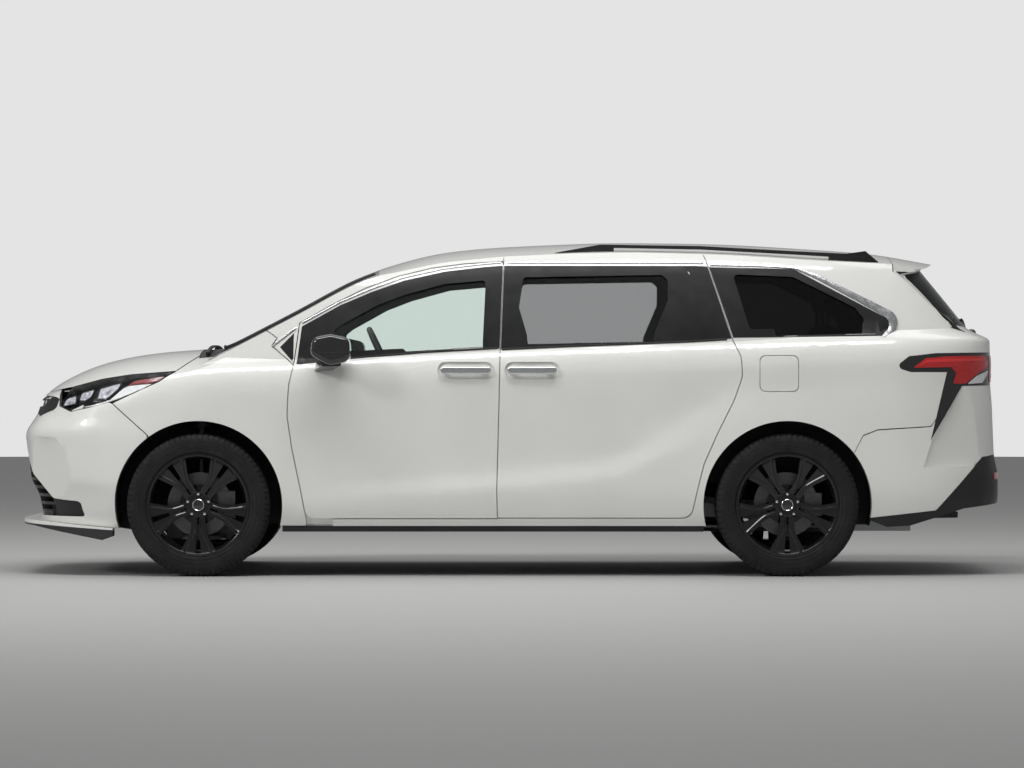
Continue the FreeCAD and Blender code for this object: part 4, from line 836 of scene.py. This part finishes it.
def headlamps():
    """Each lamp: a black tray and a clear cover, with units, a blade, a painted fin and a marker."""
    tree = tree_of("headlamps")
    for side, name in SIDES:
        on_lamp = from_side(tree, side)
        outline = inset(LAMP_OUTLINE, LAMP_EDGE)
        tray = skin_patch("headlamp_tray_" + name, outline, on_lamp, "arch_black", lift=-0.001,
                          thickness=0.05, step=0.015, tray=True)
        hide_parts("headlamps")
        skin_patch("headlamp_cover_" + name, inset(outline, COVER_EDGE), on_lamp, "lamp_cover", lift=0.004,
                   thickness=0.002)
        headlamp_units(name, on_lamp)
        for piece, path, material, lift, thickness in (
                ("blade", LAMP_BLADE, "lamp_white", 0.001, 0.012),
                ("fin", LAMP_FIN, "pearl_paint", -0.004, 0.01),
                ("marker", LAMP_MARKER, "marker_red", 0.001, 0.01)):
            skin_patch("headlamp_%s_%s" % (piece, name), path, on_lamp, material, lift, thickness, step=0.01)


TAIL_RED = area([
    (2102, 1085, 4), (2168, 1134, 10), (2267, 1143), (2475, 1148, 8), (2490, 1101, 8), (2475, 1079),
    (2426, 1046), (2377, 1002, 5), (2311, 1002, 5), (2327, 1057), (2300, 1088)])
TAIL_CLEAR = area([(2385, 1000, 3), (2432, 1042), (2492, 1070, 4), (2483, 1044, 5), (2461, 1006, 5)])
TAIL_BAR = area([
    (2120, 1092, 3), (2172, 1124, 5), (2268, 1131), (2462, 1134, 4), (2466, 1122), (2180, 1112)])
GATE_RED = area([(445, 1015, 10), (600, 1008), (680, 1012), (700, 1145), (600, 1150), (445, 1142, 10)])
GATE_CLEAR = area([(470, 1035, 6), (600, 1030), (665, 1032), (668, 1055), (600, 1055), (470, 1058, 6)])
TAIL_PLANE_Y = -0.88


def tail_lamps():
    """Red lenses, light bars and clear corners over the dark lamp bodies, on the body and on the tailgate."""
    tree = tree_of("tail_lamps", "liftgate_lamps")
    gate_tree = tree_of("liftgate_lamps")
    for side, name in SIDES:
        on_lamp = from_camera(tree, TAIL_PLANE_Y, side)
        on_gate = from_behind(gate_tree, side)
        for piece, path, project, material, lift, thickness, body, step in (
                ("tail_red_", TAIL_RED, on_lamp, "red_lens", 0.003, 0.006, "body", 0.01),
                ("tail_bar_", TAIL_BAR, on_lamp, "red_bar", 0.0045, 0.004, "body", 0.01),
                ("tail_clear_", TAIL_CLEAR, on_lamp, "lamp_white", 0.003, 0.006, "body", 0.01),
                ("gate_red_", GATE_RED, on_gate, "red_lens", 0.003, 0.006, "liftgate", 0.012),
                ("gate_clear_", GATE_CLEAR, on_gate, "lamp_white", 0.0045, 0.003, "liftgate", 0.01)):
            skin_patch(piece + name, path, project, material, lift, thickness, body, step=step)


# Front and glass trims, as (y, z) outlines of the front and the back and (x, y) outlines of the windshield

GRILLE_END = millimetres([
    (549, 845), (613, 831, 10), (726, 864, 20), (738, 880, 10), (732, 922, 10), (700, 932, 20),
    (640, 935, 20), (549, 937)])
GRILLE_BACKING = millimetres([(-500, 700), (500, 700), (740, 420), (740, 325), (-740, 325), (-740, 420)])
FACE_Y = 0.6
FACE_STEP = 0.04
REAR_GLASS_EDGE = area([(688, 1590), (728, 1318), (700, 1296), (742, 1296), (744, 1318), (706, 1590)])
SHIELD_MOULDING = millimetres([
    (-1515, 300), (-1497, 550), (-1478, 665), (-1425, 752), (-1300, 750), (-1057, 727), (-880, 692),
    (-705, 655)])
SHIELD_HALF = millimetres([
    (-1527, 0), (-1512, -400), (-1478, -676), (-1420, -768, 50), (-1057, -741), (-700, -664, 50),
    (-697, -400), (-697, 0)])
CLEAR_HALF = millimetres([
    (-1430, 0), (-1415, -400), (-1375, -640, 80), (-1040, -672), (-790, -612, 60), (-765, -350), (-760, 0)])

SHIELD_PROFILE = half_round(width=0.022, height=0.017)


def front_trim():
    """Dark ends of the upper grille and the dark backing behind the lower grille."""
    on_bumper = from_front(tree_of("front_bumper", "front_grille"))
    on_nose = from_front(tree_of("front_bumper", "front_grille", "headlamps", "hood"))
    for side, name in SIDES:

        def at_end(y, z):
            """The bumper's face, carried on straight over the edge of the grille opening."""
            if side * y >= FACE_Y:
                return on_nose(y, z)
            near, far = on_bumper(side * FACE_Y, z), on_bumper(side * (FACE_Y + FACE_STEP), z)
            return near[0] + (near[0] - far[0]) * ((FACE_Y - side * y) / FACE_STEP), near[1]

        skin_patch("grille_end_" + name, rounded(to_side(GRILLE_END, side)), at_end, "trim_black", lift=0.002,
                   thickness=0.005, step=0.015)
    skin_patch("grille_backing", GRILLE_BACKING, on_bumper, "arch_black", lift=-0.075, thickness=0.004,
               step=0.04)


def glass_trim():
    """Black borders and mouldings of the windshield, and black edges of the rear window."""
    on_shield = from_above(tree_of("windshield"))
    border, clear = [rounded(both_halves(half), step=0.03) for half in (SHIELD_HALF, CLEAR_HALF)]
    skin_patch("windshield_border", border, on_shield, "gloss_black", lift=0.0012, thickness=0.002,
               holes=[clear], step=0.035)
    gate_tree = tree_of("liftgate", "liftgate_window")
    for side, name in SIDES:
        on_gate = from_behind(gate_tree, side)
        skin_patch("rear_glass_edge_" + name, REAR_GLASS_EDGE, on_gate, "gloss_black", lift=0.0015,
                   thickness=0.003, body="liftgate")
        line = along([(x, side * y) for x, y in SHIELD_MOULDING], 60)
        strip("shield_moulding_" + name, line, on_shield, SHIELD_PROFILE, "seal_rubber")


# Tyres, brakes and wheel trims, with profiles of (y, radius) points from the outer side of a left wheel

TREAD_R = 0.3715
SIDE_PROFILE = millimetres([
    (-100, 264), (-103.2, 270), (-112.5, 271.5), (-115.5, 276), (-116.8, 284), (-115, 286.2), (-116, 288.5),
    (-117.2, 298), (-117.4, 306), (-116.2, 307.2), (-117.4, 308.4), (-117.2, 318), (-116.8, 330),
    (-115.2, 331.2), (-116, 333), (-114.2, 342), (-111.8, 350), (-107.6, 358), (-101, 365), (-93, 369.2)])
GROOVE_CENTRES = (-0.054, -0.018, 0.018, 0.054)
RIB_HALF = 0.018
GROOVE_HALF, GROOVE_FLOOR_HALF, GROOVE_DEPTH = 0.0052, 0.0042, 0.0075
CROWN_EDGE = (0.07, 0.3711)
SHOULDER_EDGE = (0.08, 0.3706)
INNER_PROFILE = millimetres([(95, 262), (85, 300), (70, 345), (-70, 345), (-85, 300), (-95, 262)])
# The tread repeats in pitches, each swept in steps, with slanted shoulder blocks and narrow sipes
PITCHES = 76
PITCH_STEPS = (0, 0.1, 0.13, 0.42, 0.7, 0.97)
BLOCK_R, BLOCK_START, BLOCK_END = 0.3495, 0.069, 0.1125
BLOCK_SLANT = 6.25
BLOCK_CUT = 0.0052
BLOCK_NARROW = 0.985
SIPE_R = 0.37
SIPE_START, SIPE_SLANT = 0.5, 6
SIPE_CUT = 0.0018
DISC_EDGE_Y, DISC_FACE_Y, DISC_GROOVE_Y, DISC_BACK_Y = 0.0212, 0.021, 0.0213, 0.0225
DISC_INNER_R, DISC_OUTER_R = 0.105, 0.1675
DISC_GROOVES, GROOVE_START_R, GROOVE_PITCH, GROOVE_WIDTH = 14, 0.107, 0.0043, 0.002
TREAD_ANGLE, TRIM_ANGLE = math.radians(35), math.radians(40)


def wheels():
    """Name, side and hub matrix of each wheel. The matrix turns a left wheel's parts for the right side."""
    for side, side_name in SIDES:
        turn = Matrix.Rotation(math.pi if side > 0 else 0, 4, "Z")
        for end, x in (("front", FRONT_AXLE_X), ("rear", REAR_AXLE_X)):
            hub = Matrix.Translation((x, side * WHEEL_Y, AXLE_Z)) @ turn
            yield end + "_" + side_name, side, hub


def tread_profile():
    left = [(-y, r) for y, r in (SHOULDER_EDGE, CROWN_EDGE)]
    points = []
    for centre in GROOVE_CENTRES:
        points += [
            (centre - GROOVE_HALF, TREAD_R), (centre - GROOVE_FLOOR_HALF, TREAD_R - GROOVE_DEPTH),
            (centre + GROOVE_FLOOR_HALF, TREAD_R - GROOVE_DEPTH), (centre + GROOVE_HALF, TREAD_R),
            (centre + RIB_HALF, TREAD_R),
        ]
    return left + points[:-1] + [CROWN_EDGE, SHOULDER_EDGE]


def tyre_mesh():
    """Tyre section swept round with shoulder blocks, sipes and sidewall rings."""
    profile = SIDE_PROFILE + tread_profile() + [(-y, r) for y, r in reversed(SIDE_PROFILE)] + INNER_PROFILE
    verts = []
    for pitch in range(PITCHES):
        for k, share in enumerate(PITCH_STEPS):
            for y, r in profile:
                slant, depth, narrow = 0, 0, 1
                if r > BLOCK_R and BLOCK_START <= abs(y) < BLOCK_END:
                    slant = math.copysign(BLOCK_SLANT * (abs(y) - BLOCK_START), y)
                    if k < 2:
                        depth, narrow = BLOCK_CUT, BLOCK_NARROW
                elif r > SIPE_R:
                    slant = SIPE_START + SIPE_SLANT * abs(y)
                    depth = SIPE_CUT if k == 0 else 0
                angle = (pitch + share + slant) / PITCHES * 2 * math.pi
                verts.append(((r - depth) * math.sin(angle), y * narrow, (r - depth) * math.cos(angle)))
    faces = grid_faces(PITCHES * len(PITCH_STEPS), len(profile), round_rows=True, flip=True)
    return new_mesh("tyre", verts, faces, "tyre_rubber")


def build_tyres():
    mesh = tyre_mesh()
    for name, _, hub in wheels():
        obj = placed("tread_" + name, mesh, "wheel_" + name, hub, TREAD_ANGLE)
        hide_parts("tyre_" + name)


def build_brakes():
    """Bright ground faces of the brake discs behind the spokes."""
    face = [(DISC_EDGE_Y, DISC_INNER_R)]
    for k in range(DISC_GROOVES):
        r = GROOVE_START_R + GROOVE_PITCH * k
        face += [(DISC_FACE_Y, r), (DISC_GROOVE_Y, r + GROOVE_WIDTH)]
    face += [(DISC_EDGE_Y, DISC_OUTER_R), (DISC_BACK_Y, DISC_OUTER_R), (DISC_BACK_Y, DISC_INNER_R)]
    mesh = ring_mesh("disc_face", face, "brake_iron")
    for name, _, hub in wheels():
        placed("disc_face_" + name, mesh, "wheel_" + name, hub)


CAP = millimetres([(-90.5, 0), (-90.5, 12), (-89.8, 20), (-88.5, 26), (-82, 28), (-82, 0)])
CAP_RING = millimetres([(-84, 26.5), (-90.2, 27), (-91.2, 28.5), (-90.2, 30), (-84, 30.5)])
NUT = millimetres([(-92.5, 0), (-92.5, 4), (-91.5, 6.5), (-89, 7.8), (-80, 8), (-80, 0)])
NUT_WELL = millimetres([(-88.8, 8.5), (-89.3, 12.5), (-88.8, 13), (-86, 13), (-86, 8.5)])
NUT_CIRCLE_R = 0.057
SPOKES = 5


def wheel_trim():
    """Centre caps with a bright ring, and wheel nuts in their wells."""
    caps = [ring_mesh("cap", CAP, "gloss_black", 48), ring_mesh("cap_ring", CAP_RING, "chrome", 64)]
    nuts = [ring_mesh("nut", NUT, "chrome", 20), ring_mesh("nut_well", NUT_WELL, "wheel_black", 24)]
    for name, _, hub in wheels():
        for mesh in caps:
            placed(mesh.name + "_" + name, mesh, "wheel_" + name, hub, TRIM_ANGLE)
        for k in range(SPOKES):
            turn = 2 * math.pi * k / SPOKES
            offset = Matrix.Translation((NUT_CIRCLE_R * math.sin(turn), 0, NUT_CIRCLE_R * math.cos(turn)))
            for mesh in nuts:
                piece = "%s_%d_%s" % (mesh.name, k + 1, name)
                placed(piece, mesh, "wheel_" + name, hub @ offset, TRIM_ANGLE)


RIDGE_PROFILE = millimetres([(-7.5, -1), (-1.2, 4.2), (1.2, 4.2), (7.5, -1)])
RIDGE_START_R = 0.074
RIDGE_LENGTH = 0.17
RIDGE_STEPS = 24
RIDGE_HALF = 0.0185
FORK_R, FORK_SPREAD, FORK_POWER = 0.128, 0.62, 1.15


def ridge_line(x, turn, lean):
    """Line along one edge of a spoke that forks towards the rim."""
    line = []
    for step in range(RIDGE_STEPS + 1):
        r = RIDGE_START_R + RIDGE_LENGTH * step / RIDGE_STEPS
        across = lean * (RIDGE_HALF + FORK_SPREAD * max(0, r - FORK_R) ** FORK_POWER)
        line.append(Vector((
            x + across * math.cos(turn) + r * math.sin(turn),
            AXLE_Z - across * math.sin(turn) + r * math.cos(turn))))
    return line


def spoke_ridges():
    """Raised edges along the spokes, on the outer face of each rim."""
    for name, side, hub in wheels():
        on_rim = from_side(tree_of("rim_" + name), side)
        for k in range(SPOKES):
            turn = 2 * math.pi * (k + 0.5) / SPOKES
            for lean, letter in ((-1, "a"), (1, "b")):
                line = ridge_line(hub.translation.x, turn, lean)
                ridge = "spoke_ridge_%d%s_%s" % (k + 1, letter, name)
                strip(ridge, line, on_rim, RIDGE_PROFILE, "wheel_black", "wheel_" + name)


# Mirrors, wiper and rear details

MIRROR_GLASS = area([(1015, 1125, 20), (1015, 1235, 20), (1165, 1235, 30), (1165, 1135, 30)])
MIRROR_SEAM = millimetres([(-1012, 1166), (-960, 1160), (-880, 1160), (-826, 1163)])
WIPER_PIVOT = (0.02, 1.262)
WIPER_ARM = evenly(WIPER_PIVOT, (-0.02, 0.0042), 18)
WIPER_BLADE = evenly((-0.45, 1.335), (0.03, 0.0006), 19)
CAP_SIZE, CAP_LIFT = (0.05, 0.05, 0.05), 0.012
BLADE_PROFILE = millimetres([(-6, 2), (-6, 10), (0, 16), (6, 10), (6, 2)])
ARM_PROFILE = millimetres([(-9, 10), (-9, 20), (9, 20), (9, 10)])
GARNISH = area([(-420, 985, 10), (420, 985, 10), (420, 1028, 10), (-420, 1028, 10)])
REFLECTOR = millimetres([(620, 500, 8), (740, 500, 8), (740, 535, 8), (620, 535, 8)])


def mirror_trim():
    """Mirror glass, and the seam between the mirror's shell and its lower part."""
    for side, name in SIDES:
        tree = tree_of("mirror_" + name)
        door = "front_door_" + name
        skin_patch("mirror_glass_" + name, MIRROR_GLASS, from_behind(tree, side), "chrome",
                   lift=0.001, thickness=0.003, body=door, step=0.015)
        strip("mirror_seam_" + name, rounded(MIRROR_SEAM, closed=False), from_side(tree, side),
              half_round(width=0.005, height=0.0012), "seal_rubber", door)


def rear_trim():
    """Rear wiper, a dark garnish between the lamps and two reflectors low down."""
    on_gate = from_behind(tree_of("liftgate", "liftgate_window"))
    strip("rear_wiper_blade", WIPER_BLADE, on_gate, BLADE_PROFILE, "trim_black", "liftgate")
    strip("rear_wiper_arm", WIPER_ARM, on_gate, ARM_PROFILE, "trim_black", "liftgate")
    hit, normal = on_gate(*WIPER_PIVOT)
    verts, faces = pad_verts(hit + normal * CAP_LIFT, CAP_SIZE, 2.4, 12)
    made("rear_wiper_cap", verts, faces, "gloss_black", "liftgate")
    skin_patch("gate_garnish", GARNISH, on_gate, "dark_chrome", lift=0.006, thickness=0.008,
               body="liftgate")
    on_bumper = from_behind(tree_of("rear_bumper", "rear_valance"))
    for side, name in SIDES:
        skin_patch("rear_reflector_" + name, rounded(to_side(REFLECTOR, side)), on_bumper, "red_lens",
                   lift=0.003, thickness=0.005, step=0.012)


# Seats

# Node, x, the seats' y, their width, the height of their base and the height of the floor
SEAT_ROWS = (
    ("front_seats", FRONT_AXLE_X + 1.35, (-0.385, 0.385), 0.54, 0.3, 0.3),
    ("middle_seats", FRONT_AXLE_X + 2.285, (-0.385, 0.385), 0.54, 0.3, 0.3),
    ("rear_seats", REAR_AXLE_X + 0.06, (-0.415, 0, 0.415), 0.41, 0.435, 0.585),
)
# Place and size, each as (x, share of the width, z), then power, count, lean in degrees, seams and sides
SEAT_PADS = (
    ((-0.115, 0, 0.292), (0.46, 0.62, 0.155), 3.5, 18, 3, ((0, -0.3, 0.05), (0, 0.35, 0.05)), (0,)),
    ((-0.115, 0.39, 0.3), (0.45, 0.2, 0.15), 3, 14, 3, (), (LEFT, RIGHT)),
    ((0.135, 0, 0.585), (0.115, 0.6, 0.6), 3.5, 18, 12, ((2, -0.35, 0.05), (2, 0.3, 0.05)), (0,)),
    ((0.13, 0.37, 0.57), (0.12, 0.2, 0.56), 3, 14, 12, (), (LEFT, RIGHT)),
    ((0.207, 0, 1.03), (0.088, 0.46, 0.15), 3.2, 14, 6, ((2, 0, 0.06),), (0,)),
)
PEDESTAL_GAP, PEDESTAL_TOP, PEDESTAL_X = 0.002, 0.215, -0.06
PEDESTAL_LENGTH, PEDESTAL_SHARE = 0.36, 0.62
SHELL_PLACE, SHELL_SIZE, SHELL_LEAN = (0.178, 0.575), (0.05, 0.88, 0.58), 11
POST_PLACE, POST_SIZE = (0.192, 0.07, 0.925), (0.012, 0.012, 0.09)


def seat_parts(x, y, width, z):
    """Cushion, back and headrest of one seat, with bolsters, about the point where its CAD form stands."""
    parts = []
    for place, size, power, count, lean, seams, sides in SEAT_PADS:
        for side in sides:
            at = (x + place[0], y + side * width * place[1], z + place[2])
            verts, faces = pad_verts(at, (size[0], width * size[1], size[2]), power, count, seams)
            parts.append((turned(verts, at, math.radians(lean)), faces))
    return parts


def seat_base(x, y, width, z, floor):
    """Pedestal below a seat, its shell behind the back, and the headrest posts."""
    low = floor + PEDESTAL_GAP
    tall = z + PEDESTAL_TOP - low
    size = (PEDESTAL_LENGTH, width * PEDESTAL_SHARE, tall)
    parts = [pad_verts((x + PEDESTAL_X, y, low + tall / 2), size, 7, 12)]
    at = (x + SHELL_PLACE[0], y, z + SHELL_PLACE[1])
    verts, faces = pad_verts(at, (SHELL_SIZE[0], width * SHELL_SIZE[1], SHELL_SIZE[2]), 5, 12)
    parts.append((turned(verts, at, math.radians(SHELL_LEAN)), faces))
    for side in (LEFT, RIGHT):
        at = (x + POST_PLACE[0], y + side * POST_PLACE[1], z + POST_PLACE[2])
        parts.append(pad_verts(at, POST_SIZE, 3, 8))
    return parts


def build_seats():
    for node, x, places, width, z, floor in SEAT_ROWS:
        pads, bases = [], []
        for y in places:
            pads += seat_parts(x, y, width, z)
            bases += seat_base(x, y, width, z, floor)
        piece = made(node + "_pads", *joined(pads), "seat_leather")
        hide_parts(node)
        made(node + "_frames", *joined(bases), "dash_plastic")


# Stage, light and camera

FLOOR_RADIUS = 36
FLOOR_COLOUR = (0.46, 0.458, 0.452, 1)
SKY_LIGHT, SKY_SEEN = (0.8, 0.81, 0.81, 1), (0.77, 0.775, 0.77, 1)


def build_floor():
    bpy.ops.mesh.primitive_circle_add(vertices=128, radius=FLOOR_RADIUS, fill_type="NGON", location=(0, 0, 0))
    floor = bpy.context.object
    floor.name = "floor"
    material = bpy.data.materials.new("floor_pale")
    material.use_nodes = True
    set_inputs(material.node_tree.nodes["Principled BSDF"], Roughness=0.7, Base_Color=FLOOR_COLOUR)
    floor.data.materials.append(material)


def build_world():
    """Dim light from all round, with a brighter plain background behind the car and through its glass."""
    world = bpy.data.worlds.new("studio")
    scene.world = world
    world.use_nodes = True
    tree = world.node_tree
    background = tree.nodes["Background"]
    set_inputs(background, Color=SKY_LIGHT, Strength=0.3)
    seen = tree.nodes.new("ShaderNodeBackground")
    set_inputs(seen, Color=SKY_SEEN, Strength=1)
    path = tree.nodes.new("ShaderNodeLightPath")
    either = tree.nodes.new("ShaderNodeMath")
    either.operation = "MAXIMUM"
    tree.links.new(path.outputs["Is Camera Ray"], either.inputs[0])
    tree.links.new(path.outputs["Is Transmission Ray"], either.inputs[1])
    mix = tree.nodes.new("ShaderNodeMixShader")
    tree.links.new(either.outputs[0], mix.inputs["Fac"])
    tree.links.new(background.outputs[0], mix.inputs[1])
    tree.links.new(seen.outputs[0], mix.inputs[2])
    tree.links.new(mix.outputs[0], tree.nodes["World Output"].inputs["Surface"])


def lamp(name, place, target, size, width, power):
    data = bpy.data.lights.new(name, "AREA")
    data.shape = "RECTANGLE"
    data.size = size
    data.size_y = width
    data.energy = power
    obj = bpy.data.objects.new(name, data)
    obj.location = place
    obj.rotation_mode = "QUATERNION"
    obj.rotation_quaternion = (Vector(target) - Vector(place)).to_track_quat("-Z", "Y")
    scene.collection.objects.link(obj)


def build_lights():
    lamp("overhead", (0.4, 1.6, 7.5), (0, 0.4, 0), size=11, width=4, power=200)
    lamp("side", (-1, -3.9, 8.4), (-0.3, -0.9, 0.8), size=9, width=1.8, power=450)
    lamp("front", (-6.6, -5.6, 4.6), (-1.9, -0.8, 0.9), size=2.6, width=2.6, power=48)
    data = bpy.data.lights.new("key", "SUN")
    data.energy = 0.55
    data.angle = math.radians(9)
    key = bpy.data.objects.new("key", data)
    key.rotation_mode = "QUATERNION"
    key.rotation_quaternion = Vector((0.75, 0.54, -0.5)).to_track_quat("-Z", "Y")
    scene.collection.objects.link(key)


def build_camera():
    data = bpy.data.cameras.new("camera")
    data.sensor_width = 36
    data.lens = 149.1
    data.clip_end = 200
    camera = bpy.data.objects.new("camera", data)
    camera.location = EYE
    camera.rotation_euler = (math.radians(90), 0, 0)
    scene.collection.objects.link(camera)
    scene.camera = camera


dress_nodes()
surrounds()
lining()
front_trim()
glass_trim()
build_tyres()
build_brakes()
build_seats()
headlamps()
tail_lamps()
wheel_trim()
spoke_ridges()
mirror_trim()
rear_trim()
build_floor()
build_world()
build_lights()
build_camera()
scene.view_settings.view_transform = "Standard"
